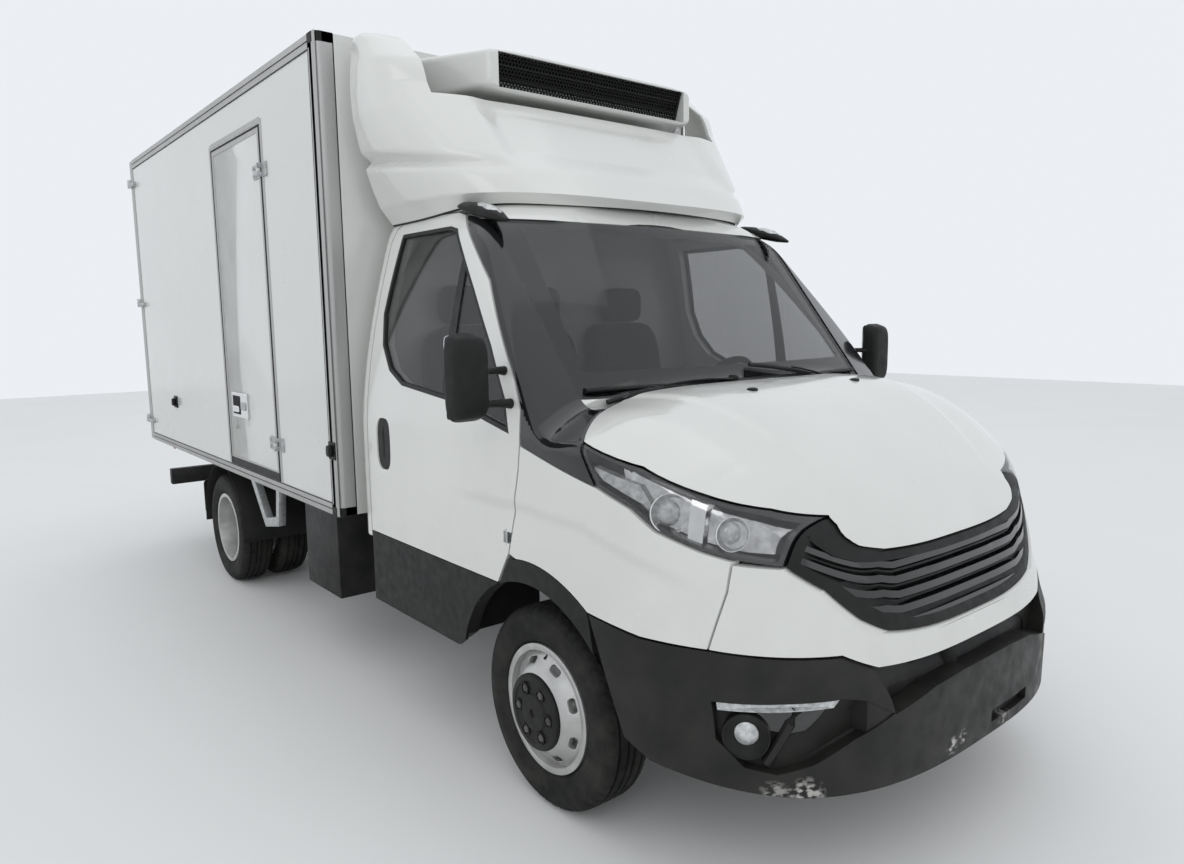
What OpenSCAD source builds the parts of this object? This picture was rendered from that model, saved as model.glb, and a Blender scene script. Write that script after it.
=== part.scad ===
// Refrigerated box truck: a bonneted light-truck cab, a ladder frame on twin rear wheels
// and an insulated load body with a nose-mounted cooling unit above the cab.
// +X is forward, +Y is the vehicle's left, +Z is up. The origin is on the ground, at the
// middle of the length and width. Places along the vehicle are measured from the front axle.

/* [Overall] */
// Distance between the axles
wheelbase = 3450; // [3200:10:4200]
// Front axle to the foremost point of the bumper
front_overhang = 1050; // [1000:10:1100]
// Width of the cab over its doors
cab_w = 2010; // [1950:10:2060]
// Height of the cab roof above the ground
cab_roof_z = 2200; // [2180:5:2230]
// Front axle back to the cab's rear wall
cab_back = 1250; // [1240:5:1280]

/* [Load body] */
// Outside length of the load body
box_l = 3580; // [3000:10:4400]
// Outside width of the load body
box_w = 2160; // [1800:10:2600]
// Outside height of the load body
box_h = 2060; // [1700:10:2200]
// Underside of the load body above the ground
box_z = 800; // [790:5:860]
// Thickness of the insulated walls, roof and doors
wall_t = 70; // [50:5:90]
// Thickness of the insulated floor
floor_t = 90; // [70:5:120]
// Gap between the cab and the load body
box_gap = 90; // [60:5:140]
// Clear width of the side door's opening
side_door_w = 815; // [600:10:900]
// Clear height of the side door's opening
side_door_h = 1765; // [1400:10:1850]
// Side door's rear edge ahead of the load body's rear end
side_door_from_rear = 2025; // [1500:10:2100]

/* [Wheels] */
// Outer radius of the tyres
tyre_r = 349; // [330:1:365]
// Width of the tyres
tyre_w = 195; // [175:5:215]
// Radius of the rims' lips
rim_r = 222; // [210:1:230]
// Front wheels, middle to middle
front_track = 1724; // [1680:2:1760]
// Rear twin wheels, middle of a pair to middle of a pair
rear_track = 1550; // [1500:2:1600]
// Middles of the two wheels of a pair
twin_spacing = 236; // [225:1:260]
// Circle of the wheel studs
stud_circle = 170; // [160:1:180]
// Radius of the bore at the middle of each rim
rim_bore_r = 65; // [60:0.5:70]

/* [Frame] */
// Middle of a frame rail from the centreline
rail_y = 395; // [360:5:430]
// Height of a frame rail
rail_h = 160; // [120:5:180]
// Width of a frame rail
rail_w = 70; // [50:5:80]
// Thickness of the subframe between rails and load body
subframe_h = 80; // [60:5:100]

/* [Panels] */
// Thickness of a whole cab door
door_t = 55; // [40:5:70]
// Thickness of the fixed cab panels
skin_t = 28; // [20:2:40]
// Gap round doors and lids
shut_gap = 7.5; // [6:0.5:9]
// Gap between fixed panels
seam_gap = 0.6; // [0.4:0.1:3]

/* [Hidden] */
$fn = 48;

e = 1;                          // a cut runs this far past a face
L = 1;                          // the vehicle's left side, for a module's side
R = -1;                         // the vehicle's right side

// Places along the vehicle, from the front axle
box_front = -cab_back - box_gap;
box_rear = box_front - box_l;
lock_rod_r = 12;
lock_rod_out = 20;              // lock rods' axes behind the rear doors
rear_reach = -box_rear + lock_rod_out + lock_rod_r;
axle_x = (front_overhang + rear_reach) / 2 - front_overhang;
box_top = box_z + box_h;
rail_top = box_z - subframe_h;
rail_bottom = rail_top - rail_h;
rail_front = 560;
hub_z = tyre_r;

// Cab outline
belt_z = 1200;                  // the flanks lean in above this height
lean = 170;                     // how far they lean in at the roof
nose_power = 3;                 // squareness of the cab's nose from above
nose_front = [[300, -5], [600, 0], [660, -25], [800, -65], [950, -105], [1100, -150], [1450, -250]];
cab_levels = [300, 450, 600, 660, 800, 950, 1100, 1200, 1350, 1500, 1650, 1800, 1950, 2050, 2130, 2230];
glass_foot = [120, 1400];       // windscreen's lower edge on the centreline
glass_rake = 0.80;              // run back for each unit of rise
glass_bow = 110;                // sweep back of the windscreen at its lower corners
glass_half = 889;               // half width of the windscreen at its foot
bonnet_tail = [185, 1428];      // bonnet's rear edge on the centreline
bonnet_nose = [940, 962];       // bonnet's front edge on the centreline
bonnet_bulge = 2.2;             // fullness of the bonnet's profile
bonnet_fall = 150;              // how far its sides fall away

function nose_x(z) = front_overhang + lookup(z, nose_front);
function flank_y(z) = cab_w / 2 - lean * pow(max(0, z - belt_z) / (2050 - belt_z), 1.6);
function plan_w(x, z) = let (a = nose_x(z), s = min(1, max(0, x) / a))
    flank_y(z) * pow(1 - pow(s, nose_power), 1 / nose_power);
function bonnet_z(x, y) = let (s = max(0, x - bonnet_tail[0]) / (bonnet_nose[0] - bonnet_tail[0]))
    bonnet_tail[1] - (bonnet_tail[1] - bonnet_nose[1]) * pow(s, bonnet_bulge)
    - bonnet_fall * pow(min(1, abs(y) / max(plan_w(x, 1100), 300)), 6);
function screen_z(x, y) = glass_foot[1]
    + (glass_foot[0] - glass_bow * pow(y / glass_half, 2) - x) / glass_rake;
function roof_z(x, y) = cab_roof_z - 90 * pow(abs(y) / 800, 3)
    - 100 * pow(max(0, x + cab_back) / 850, 3);
function greenhouse_z(x, y) = min(screen_z(x, y), roof_z(x, y));

module from_axle() translate([axle_x, 0, 0]) children();

// Extrudes an outline drawn in (x, z) from y0 to y1
module across(y0, y1) translate([0, y1, 0]) rotate([90, 0, 0]) linear_extrude(y1 - y0) children();

// Extrudes an outline drawn in (y, z) from x0 to x1
module along(x0, x1) translate([x0, 0, 0]) rotate([90, 0, 90]) linear_extrude(x1 - x0) children();

module block(a, b) translate(a) cube(b - a);

// Cab seen from above at one height
function plan_outline(z, inset) = let (a = nose_x(z) - inset, w = flank_y(z) - inset, p = 2 / nose_power)
    concat([for (t = [-90:9:90]) [a * pow(abs(cos(t)), p), sign(t) * w * pow(abs(sin(t)), p)]],
           [[inset - cab_back, w], [inset - cab_back, -w]]);

module cab_flanks(inset, low = 300)
    for (i = [0:len(cab_levels) - 2]) if (cab_levels[i] >= low) hull()
        for (z = [cab_levels[i], cab_levels[i + 1]])
            translate([0, 0, z]) linear_extrude(0.1) polygon(plan_outline(z, inset));

module top_slices(stations, inset, kind)
    for (i = [0:len(stations) - 2]) hull()
        for (x = [stations[i], stations[i + 1]])
            along(x, x + 0.1) polygon(concat([[1020, 0], [-1020, 0]],
                [for (k = [-10:10]) let (y = k * 102)
                    [y, (kind == "bonnet" ? bonnet_z(x, y) : greenhouse_z(x, y)) - inset]]));

module bonnet_under(inset)
    top_slices([60, 185, 280, 380, 480, 580, 680, 760, 830, 890, 940, 990, 1060], inset, "bonnet");
module greenhouse_under(inset)
    top_slices([-cab_back, -1000, -800, -650, -560, -480, -400, -300, -150, 0, 120], inset, "screen");

// Solid shape of the whole cab, its skin moved in by inset
module cab_form(inset) intersection() {
    cab_flanks(inset);
    union() {
        bonnet_under(inset);
        greenhouse_under(inset);
    }
}

// Outlines of the cab's panels from the side, in (x, z)
door_rear = -1180;
door_top = 2080;
door_bottom = 450;
clad_top = 765;
seam_top = [-645, 2062];        // door seam at the top of the pillar
seam_bend = [-172, 1573];
seam_mid = [-30, 1255];
seam_foot = [-115, 874];
seam_line = [seam_mid, [-36, 1370], [-80, 1455], seam_bend, [-345, 1800], [-455, 1900], seam_top];
lamp_tail = [256, 1290];
lamp_tail_low = [333, 1167];
lamp_inner_top = [820, 1083];
lamp_inner_low = [806, 972];
wing_front = [716, 985];
wing_front_low = [684, 746];
band_rear = [295, 775];
arch_r = 430;
flare_r = 505;

lamp_top_edge = [lamp_inner_top, [746, 1124], [627, 1168], [470, 1235], lamp_tail];
lamp_low_edge = [lamp_tail_low, [449, 1119], [527, 1062], [644, 1016], [716, 993]];
grille_low_edge = [lamp_inner_low, [868, 905], [925, 812], [958, 768], [1000, 738], [1100, 735]];

module arch(r) translate([0, hub_z + 15]) circle(r);

module door_outline() difference() {
    door_plain();
    arch(arch_r);
}
module door_plain() polygon(concat([[door_rear, door_bottom], [-460, door_bottom], [-300, 560], seam_foot,
    [-40, 1170]], seam_line, [[-720, door_top], [-1110, door_top], [-1160, 2050], [door_rear, 1990]]));
module window_outline() polygon([[-1120, 1690], [-1085, 1560], [-1000, 1460], [-880, 1405], [-500, 1368],
    [-95, 1285], [-130, 1400], [-250, 1573], [-420, 1770], [-640, 2005], [-700, 2020], [-1090, 2020], [-1120, 1990]]);
module wing_outline() difference() {
    polygon(concat([seam_foot, [-40, 1170], seam_mid], lamp_low_edge,
        [[714, 910], wing_front_low, [492, 748], band_rear]));
    arch(flare_r);
}
module flare_outline() difference() {
    intersection() {
        arch(flare_r);
        polygon([[-400, 700], [-400, 1000], [400, 1000], [400, 784], [band_rear[0], band_rear[1]], [330, 600]]);
    }
    arch(arch_r);
    bumper_outline();
}
module cover_outline() polygon(concat([[-560, 2085], [-470, 2040], [64, 1418], [150, 1360], lamp_tail,
    lamp_tail_low], seam_line));
module lamp_outline() polygon(concat(lamp_top_edge, lamp_low_edge, [lamp_inner_low]));
module bonnet_outline() polygon(concat([[1060, 960], [945, 964], [927, 972], [883, 999]], lamp_top_edge,
    [[64, 1418], [64, 1500], [1060, 1500]]));
module grille_outline() polygon(concat([[1100, 950], [945, 962], [927, 972], [883, 999], lamp_inner_top],
    grille_low_edge));
module panel_outline() polygon(concat([wing_front], grille_low_edge,
    [[1100, 655], [1012, 672], [973, 681], [925, 728], wing_front_low, [714, 910]]));
module bumper_outline() difference() {
    polygon([band_rear, [492, 746], wing_front_low, [925, 726], [973, 679], [1012, 670], [1100, 653],
        [1100, 330], [900, 340], [530, 385], [440, 430]]);
    arch(arch_r);
}

// A curved panel of the cab's sides and nose: the outer t of the flanks, within a side outline
module panel(t, gap, out = 0) intersection() {
    difference() {
        cab_form(out);
        cab_flanks(t);
    }
    across(-1100, 1100) offset(delta = -gap / 2) children();
}
// The room round the doors' and bonnet's outlines
module moving_room() offset(delta = shut_gap / 2) {
    door_outline();
    bonnet_outline();
}
module beside_moving() difference() {
    children();
    offset(delta = seam_gap / 2) moving_room();
}
module half(side) translate([-3000, side > 0 ? 0 : -1500, 0]) cube([5000, 1500, 3000]);

// ---- Frame and running gear ----

beam_x = 890;                   // rear face of the bumper's beam
module bumper_beam() color("dimgray") intersection() {
    cab_flanks(60.4);
    block([beam_x, -640, rail_bottom - 20], [1000, 640, rail_bottom + 80]);
}

cross_h = 60;                   // depth of a cross-member
module chassis_frame() color("dimgray") {
    rail_rear = box_rear + 90;
    for (s = [R, L]) translate([0, s * rail_y, 0])
        block([rail_rear, -rail_w / 2, rail_bottom], [rail_front, rail_w / 2, rail_top]);
    for (s = [R, L]) translate([0, s * rail_y, 0])
        block([rail_front - e, -25, rail_bottom], [beam_x, 25, rail_bottom + 80]);
    for (x = [rail_front - 40, -900, -1500, -2400, -wheelbase - 420, rail_rear + 30])
        block([x - 30, -rail_y, rail_top - cross_h], [x + 30, rail_y, rail_top]);
    for (s = [R, L]) translate([0, s * rail_y, 0])
        block([rail_rear, -25, rail_top], [box_front - 60, 25, box_z]);
    for (i = [0:6]) translate([box_front - 150 - i * (box_l - 330) / 6, 0, 0])
        block([-30, -rail_y, rail_top + 20], [30, rail_y, box_z]);
    tow_plate();
}

tow_x = 160;                    // bolt spacing of the towing plate, across
tow_z = 100;                    // and up
tow_hole_r = 8.5;
tow_plate_t = 20;
module tow_plate() translate([box_rear + 90, 0, rail_bottom + rail_h / 2]) rotate([0, -90, 0]) difference() {
    translate([-rail_h / 2, -rail_y, 0]) cube([rail_h, 2 * rail_y, tow_plate_t]);
    for (a = [-1, 1], b = [-1, 1])
        translate([a * tow_z / 2, b * tow_x / 2, -e]) cylinder(r = tow_hole_r, h = tow_plate_t + 2 * e);
}

gearbox_end = -820;
shaft_end_z = 560;
module engine() color("gray") {
    block([-115, -240, 470], [480, 240, 1110]);
    block([gearbox_end, -150, 440], [-115, 150, rail_top - cross_h - 5]);
    for (s = [R, L]) mirror([0, s > 0 ? 0 : 1, 0])
        block([150, 240 - e, rail_bottom + 10], [210, rail_y - rail_w / 2, rail_bottom + 50]);
}

pin_y = 700;                    // steering axis from the centreline
pin_bottom = 240;
pin_top = 520;
pin_gap = 0.3;                  // running gap at the steering pin and the hubs
module front_suspension() color("dimgray") {
    block([-130, -330, 250], [130, 330, 400]);
    for (s = [R, L]) {
        translate([0, s * 340, 0]) block([-110, -40, 300], [110, 40, rail_bottom]);
        hull() {
            translate([-100, s * 330 - 5, 180]) cube([200, 10, 59]);
            translate([0, s * pin_y, 200]) cylinder(r = 35, h = pin_bottom - pin_gap - 200);
        }
        hull() {
            translate([-80, s * 375 - 5, pin_top + pin_gap]) cube([160, 10, 38]);
            translate([0, s * pin_y, pin_top + pin_gap]) cylinder(r = 35, h = 38);
        }
    }
}

spindle_r = 30;
module knuckle(s) color("dimgray") translate([0, s * pin_y, 0]) {
    translate([0, 0, pin_bottom]) cylinder(r = 28, h = pin_top - pin_bottom);
    translate([0, 0, hub_z]) rotate([-90 * s, 0, 0]) {
        cylinder(r = 45, h = 50);
        cylinder(r = spindle_r, h = 150);
    }
    translate([-150, -15, 400]) cube([150, 30, 25]);
}

axle_r = 55;
rear_spindle_r = 40;
diff_nose = 230;
module rear_axle() color("dimgray") translate([-wheelbase, 0, hub_z]) {
    rotate([90, 0, 0]) cylinder(r = axle_r, h = rear_track - twin_spacing - tyre_w - 60, center = true);
    rotate([90, 0, 0]) cylinder(r = rear_spindle_r, h = rear_track + 100, center = true);
    sphere(r = 150);
    rotate([0, 90, 0]) cylinder(r = 60, h = diff_nose);
    run = wheelbase + gearbox_end - diff_nose;
    rise = shaft_end_z - hub_z;
    translate([diff_nose - 20, 0, 0]) rotate([0, 90 - atan2(rise, run), 0])
        cylinder(r = 38, h = norm([run, rise]) + 5);
}

leaf_r = 1650;                  // bend of the leaf springs
leaf_half = 600;                // half their length
leaf_w = 70;
module springs() color("dimgray") for (s = [R, L])
    translate([-wheelbase, s * rail_y, hub_z + axle_r]) {
        swing = asin(leaf_half / leaf_r);
        translate([0, leaf_w / 2, leaf_r]) rotate([90, 0, 0]) rotate([0, 0, -90 - swing])
            rotate_extrude(angle = 2 * swing, $fn = 180) translate([leaf_r - 40, 0]) square([40, leaf_w]);
        for (k = [-1, 1]) block([k * leaf_half - 20, -25, leaf_r - leaf_r * cos(swing) + 10],
                                [k * leaf_half + 20, 25, rail_bottom - hub_z - axle_r]);
    }

tank_front = -1650;
module fuel_tank() color("black")
    block([tank_front - 700, rail_y + rail_w / 2, 380], [tank_front, 900, 700]);

pipe_y = -230;
pipe_z = 500;
module exhaust() color("silver") {
    translate([-2060, pipe_y, pipe_z]) rotate([0, -90, 0]) cylinder(r = 85, h = 620);
    translate([-300, pipe_y, pipe_z]) rotate([0, -90, 0]) cylinder(r = 30, h = 1761);
    translate([-2679, pipe_y, pipe_z]) rotate([0, -90, 0]) cylinder(r = 30, h = 280);
    block([-2420, pipe_y - 15, pipe_z + 80], [-2380, pipe_y + 15, rail_top - cross_h]);
}

module side_locker() color("black")
    block([-2030, -985, 330], [-1620, -rail_y - rail_w / 2, box_z - 20]);

bar_x = box_rear + 30;          // rear face of the underrun bar
bar_z = 435;
bar_h = 120;
bar_half = 985;
module underrun_bar() color("black") {
    block([bar_x, -bar_half, bar_z], [bar_x + 60, bar_half, bar_z + bar_h]);
    for (s = [R, L]) translate([0, s * (rail_y - rail_w / 2 - 10), 0])
        block([bar_x + 60, -10, bar_z + 10], [bar_x + 240, 10, rail_top - cross_h]);
}

module rear_lamps() color("firebrick") for (s = [R, L])
    translate([bar_x - 27, s * 870 - 85, bar_z + 20]) cube([27, 170, 80]);

guard_gap = 62;                 // clear space between tyre and mudguard
guard_t = 8;
module rear_mudguards() color("black") for (s = [R, L])
    translate([-wheelbase, s * rear_track / 2, hub_z]) {
        w = twin_spacing + tyre_w + 20;
        difference() {
            rotate([90, 0, 0]) cylinder(r = tyre_r + guard_gap + guard_t, h = w, center = true);
            rotate([90, 0, 0]) cylinder(r = tyre_r + guard_gap, h = w + 2 * e, center = true);
            translate([-600, -w, -620]) cube([1200, 2 * w, 600]);
        }
        for (x = [-90, 90]) block([x - 20, -w / 2 + 40, tyre_r + guard_gap - 5],
                                  [x + 20, w / 2 - 40, box_z - hub_z]);
    }

module guard_brackets() color("silver") for (s = [R, L]) translate([0, s * 975, 0]) across(-20, 20) difference() {
    polygon([[-2900, box_z], [-2640, 505], [-2420, 545], [-2370, box_z]]);
    polygon([[-2830, box_z + e], [-2622, 560], [-2455, 592], [-2420, box_z + e]]);
}

// ---- Wheels ----

// Tyre on the Y axis with its middle at the origin
bead_gap = 0.3;                 // between the tyre's bead and the rim
module tyre() rotate([90, 0, 0]) rotate_extrude($fn = 72) {
    bead = tyre_w / 2 - 22 - bead_gap;
    right = [[rim_r - 13 + bead_gap, bead], [rim_r + 2, bead], [rim_r + 12, tyre_w / 2 - 11],
        [rim_r + 34, tyre_w / 2 - 3], [rim_r + 60, tyre_w / 2], [tyre_r - 42, tyre_w / 2 - 2],
        [tyre_r - 20, tyre_w / 2 - 9], [tyre_r - 7, tyre_w / 2 - 20], [tyre_r - 1, tyre_w / 2 - 36], [tyre_r, 30]];
    polygon(concat(right, [for (i = [len(right) - 1:-1:0]) [right[i][0], -right[i][1]]]));
}
disc_t = 12;                    // thickness of a rim's disc
well_r = rim_r - 22;            // inside of the rim's barrel
dish_r = 130;                   // flat middle of the disc
// Rim with its disc towards +Y; face is the disc's place across the wheel
module rim(face) rotate([-90, 0, 0]) {
    rotate_extrude($fn = 72) polygon([[well_r + 9, -tyre_w / 2 + 22], [rim_r, -tyre_w / 2 + 22],
        [rim_r, -tyre_w / 2 + 12], [well_r, -tyre_w / 2 + 12], [well_r, tyre_w / 2 - 12],
        [rim_r, tyre_w / 2 - 12], [rim_r, tyre_w / 2 - 22], [well_r + 9, tyre_w / 2 - 22]]);
    difference() {
        rotate_extrude($fn = 72) polygon([[rim_bore_r - 5, face - disc_t / 2], [dish_r - 8, face - disc_t / 2],
            [well_r + 4, 40], [well_r + 4, 56], [dish_r, face + disc_t / 2], [rim_bore_r - 5, face + disc_t / 2]]);
        for (a = [22.5:45:359]) rotate(a) translate([(dish_r + well_r) / 2 + 2, 0, 30]) {
            translate([-11, -14, 0]) cube([22, 28, face]);
            for (b = [-14, 14]) translate([0, b, 0]) cylinder(r = 11, h = face);
        }
    }
}

twin_face = (twin_spacing - disc_t) / 2;    // disc, out from the wheel's middle
module front_wheel_at(s) translate([0, s * front_track / 2, hub_z]) mirror([0, s > 0 ? 0 : 1, 0]) children();
module front_tyre(s) color("black") front_wheel_at(s) tyre();
module front_rim(s) color("silver") front_wheel_at(s) difference() {
    union() {
        rim(twin_face);
        rotate([-90, 0, 0]) translate([0, 0, -70]) cylinder(r = rim_bore_r, h = 70 + twin_face + disc_t / 2);
        rotate([-90, 0, 0]) translate([0, 0, twin_face]) cylinder(r = dish_r - 2, h = disc_t / 2 + 12);
    }
    rotate([-90, 0, 0]) translate([0, 0, -70 - e]) cylinder(r = spindle_r + pin_gap, h = 70 + e + 10);
}
module rear_pair(s) translate([-wheelbase, s * rear_track / 2, hub_z]) mirror([0, s > 0 ? 0 : 1, 0]) children();
module rear_tyres(s) color("black") rear_pair(s)
    for (k = [-1, 1]) translate([0, k * twin_spacing / 2, 0]) tyre();
module rear_rims(s) color("silver") rear_pair(s) difference() {
    union() {
        translate([0, -twin_spacing / 2, 0]) rim(twin_face);
        translate([0, twin_spacing / 2, 0]) mirror([0, 1, 0]) rim(twin_face);
        rotate([-90, 0, 0]) translate([0, 0, -60]) cylinder(r = 85, h = 160);
    }
    rotate([-90, 0, 0]) translate([0, 0, -60 - e]) cylinder(r = rear_spindle_r + pin_gap, h = 60 + e + 52);
}

// ---- Cab ----

floor_z = rail_top + 15;        // underside of the cab's floor
floor_top = floor_z + skin_t;
sill_in = 600;                  // inner side of the sills
module cab_cavity() intersection() {
    cab_form(skin_t);
    across(-1100, 1100) polygon([[-cab_back + skin_t, floor_top], [-425, floor_top], [-150, 1160],
        [32, 1364], [32, 2400], [-cab_back + skin_t, 2400]]);
}
screen_t = 6;
screen_half = 800;              // half width of the windscreen between its covers
screen_foot = 1392;
screen_top = 2034;
door_pin = [-130, cab_w / 2 - 9];   // cab doors' hinge axis, as (x, y)
door_pin_r = 5;
hinge_z = [930, 1130];
post_y = [800, 865];            // posts that carry the cab doors' hinges
module cab_shell() color("white") {
    difference() {
        intersection() {
            cab_form(0);
            across(-1100, 1100) polygon([[-cab_back - e, floor_z], [-410, floor_z], [-128, 1145],
                [60, 1353], [58, 1420], [-510, 2130], [-510, 2400], [-cab_back - e, 2400]]);
        }
        cab_cavity();
        difference() {
            across(-1100, 1100) offset(delta = shut_gap / 2) door_plain();
            cab_flanks(door_t + shut_gap);
        }
        difference() {
            across(-1100, 1100) offset(delta = seam_gap / 2) cover_outline();
            across(-screen_half, screen_half) square([3000, 6000], center = true);
        }
        across(-screen_half, screen_half) screen_outline();
        for (s = [R, L]) mirror([0, s > 0 ? 0 : 1, 0]) {
            translate([door_pin[0], door_pin[1], floor_z]) cylinder(r = 110, h = 900);
            for (z = hinge_z) block([door_pin[0] - 12, post_y[1], z - 15], [door_pin[0] + 12, 950, z + 15]);
        }
    }
    across(-330, 330) polygon([[50, 1370], [118, 1370], [124, screen_foot - 0.3], [50, screen_foot - 0.3]]);
    for (s = [R, L]) {
        translate([0, s * (sill_in + 160), 0])
            block([door_rear + 20, -160, 470], [-500, 160, floor_z + 5]);
        across(s > 0 ? post_y[0] : -post_y[1], s > 0 ? post_y[1] : -post_y[0])
            polygon([[-338, 860], [-100, 860], [-100, 1178], [-112, 1178], [-140, 1150]]);
    }
}

// Pins and brackets of every hinge of the doors and the bonnet
bonnet_pin = [80, 1360];
bonnet_pin_r = 8;
module hinge_brackets() color("silver") {
    for (s = [R, L]) {
        for (z = hinge_z) translate([door_pin[0], s * door_pin[1], z]) {
            translate([0, 0, -28]) cylinder(r = door_pin_r, h = 56);
            mirror([0, s > 0 ? 0 : 1, 0]) {
                block([-8, post_y[1] - door_pin[1], -12], [8, -14, 12]);
                block([-4.5, -14 - e, -12], [4.5, -1, 12]);
            }
        }
        translate([0, s * 768, 0]) {
            translate([bonnet_pin[0], 0, bonnet_pin[1]]) rotate([90, 0, 0])
                cylinder(r = bonnet_pin_r, h = 64, center = true);
            translate([0, s * 27, 0]) across(-5, 5) {
                translate(bonnet_pin) circle(r = bonnet_pin_r + 2);
                polygon([[60, 1354], [84, 1351], [84, 1369], [60, 1372]]);
            }
        }
    }
    for (z = side_hinge_z) translate([side_pin[0], side_pin[1], z]) {
        translate([0, 0, -32]) cylinder(r = side_pin_r, h = 64);
        for (k = [-1, 1]) translate([0, 0, k * 21]) block([0, -10, -11], [14, 16, 11]);
        block([14, 10, -32], [80, 16, 32]);
    }
    for (s = [R, L], z = rear_hinge_z) mirror([0, s > 0 ? 0 : 1, 0]) translate([rear_pin[0], rear_pin[1], z]) {
        translate([0, 0, -30]) cylinder(r = rear_pin_r, h = 60);
        translate([0, 0, -30]) cylinder(r = rear_pin_r + 3, h = 30);
        block([0, -9.5, -30], [160, 6.5, 0]);
        block([95, -15, -30], [160, -9.5 + e, 0]);
    }
}

module screen_outline() polygon([[300, screen_foot], [-100, screen_foot], [-560, screen_top], [300, screen_top]]);
module windscreen() color("lightblue", 0.4) intersection() {
    difference() {
        greenhouse_under(4);
        greenhouse_under(4 + screen_t / 0.62);
    }
    across(-screen_half + 0.3, screen_half - 0.3) offset(delta = -0.3) screen_outline();
    cab_flanks(0.5, 1200);
}

module pillar_covers() color("black") difference() {
    intersection() {
        difference() {
            cab_form(0);
            cab_form(skin_t - 2);
        }
        across(-1100, 1100) offset(delta = -seam_gap / 2) beside_moving() cover_outline();
    }
    across(-screen_half - seam_gap / 2, screen_half + seam_gap / 2) square([3000, 6000], center = true);
}

module front_wings() color("white") difference() {
    panel(skin_t, seam_gap) beside_moving() wing_outline();
    intersection() {
        cab_flanks(5);
        across(-1100, 1100) offset(delta = 55) door_outline();
    }
}
module arch_flares() color("black") panel(skin_t, seam_gap) difference() {
    flare_outline();
    offset(delta = 7) door_plain();
}
module front_panel() color("white") panel(skin_t, seam_gap) panel_outline();
module front_bumper() color("black") panel(60, seam_gap) bumper_outline();
module grille() color("black") panel(40, seam_gap, 8) beside_moving() grille_outline();
module front_lamps() color("gainsboro") panel(60, seam_gap, 2) beside_moving() lamp_outline();
module bonnet() color("white") difference() {
    union() {
        difference() {
            intersection() {
                difference() {
                    cab_form(0);
                    cab_form(22);
                }
                across(-1100, 1100) offset(delta = -shut_gap / 2) bonnet_outline();
            }
            translate([0, 0, 1000]) linear_extrude(600) polygon(concat([[-500, -1100]],
                [for (k = [-10:10]) let (y = k * 110) [bonnet_tail[0] - 125 * pow(y / 889, 2), y]], [[-500, 1100]]));
        }
        for (s = [R, L]) translate([0, s * 761, 0]) across(-13, 13)
            polygon([[71, 1352], [89, 1350], [130, 1368], [130, 1386], [96, 1386], [71, 1368]]);
    }
    translate([bonnet_pin[0], 0, bonnet_pin[1]]) rotate([90, 0, 0])
        cylinder(r = bonnet_pin_r + pin_gap, h = 1800, center = true);
}

door_skin = 14;                 // thickness of a cab door at its edges
module door(s) color("white") difference() {
    intersection() {
        union() {
            panel(door_skin, shut_gap) door_outline();
            intersection() {
                panel(door_t, shut_gap + 30) door_outline();
                across(-1100, 1100) polygon([[-2000, 0], [door_pin[0] + 12, 0], [door_pin[0] + 12, 3000], [-2000, 3000]]);
            }
        }
        half(s);
    }
    across(-1100, 1100) window_outline();
    for (z = hinge_z) {
        mirror([0, s > 0 ? 0 : 1, 0]) block([door_pin[0] - 15, 920, z - 18], [0, door_pin[1] + 5.6, z + 18]);
        translate([door_pin[0], s * door_pin[1], z - 29]) cylinder(r = door_pin_r + pin_gap, h = 58);
    }
}
module glass(s) color("lightblue", 0.4) intersection() {
    difference() {
        cab_flanks(14, 1200);
        cab_flanks(20, 1200);
    }
    across(-1100, 1100) offset(delta = -0.3) window_outline();
    half(s);
}
module mirror_unit(s) color("black") mirror([0, s > 0 ? 0 : 1, 0]) {
    hull() {
        for (y = [1092, 1204], z = [1346, 1608]) translate([-118, y, z]) sphere(r = 18, $fn = 12);
        for (y = [1130, 1190], z = [1370, 1590]) translate([-78, y, z]) sphere(r = 14, $fn = 12);
    }
    for (v = [[1385, -96], [1490, -152]]) hull() {
        translate([-110, 1085, v[0]]) cube([24, 20, 26], center = true);
        translate([v[1], flank_y(v[0]) + 5.7, v[0]]) cube([44, 8, 14], center = true);
    }
}

dash_half = 850;
column_r = 28;
module at_steering_wheel() translate([-445, wheel_y, 1300]) rotate([0, -62, 0]) children();
module dashboard() color("dimgray") difference() {
    across(-dash_half, dash_half) polygon([[-340, 1010], [-254.4, 1010], [-150.4, 1160], [20, 1351.4], [0, 1380],
        [-120, 1350], [-300, 1290], [-345, 1200]]);
    at_steering_wheel() mirror([0, 0, 1]) cylinder(r = column_r + pin_gap, h = 260);
}
wheel_y = 430;
module steering_wheel() color("black") at_steering_wheel() {
    rotate_extrude($fn = 48) translate([190, 0]) circle(r = 15, $fn = 16);
    translate([0, 0, -15]) cylinder(r = 60, h = 30);
    for (a = [60, 180, 300]) rotate(a) translate([0, -15, -8]) cube([190, 30, 16]);
    mirror([0, 0, 1]) cylinder(r = column_r, h = 200);
}
seat_x = -1140;
module seat(w) {
    block([seat_x + 130, -w / 2 + 40, floor_top], [seat_x + 560, w / 2 - 40, 920]);
    block([seat_x + 120, -w / 2, 920], [seat_x + 620, w / 2, 1050]);
    hull() {
        block([seat_x + 20, -w / 2, 1050], [seat_x + 140, w / 2, 1100]);
        block([seat_x - 60, -w / 2 + 30, 1600], [seat_x + 20, w / 2 - 30, 1640]);
    }
}
module headrest(y) translate([seat_x - 50, y - 120, 1640]) cube([80, 240, 180]);
module driver_seat() color("dimgray") { translate([0, wheel_y, 0]) seat(480); headrest(wheel_y); }
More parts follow.
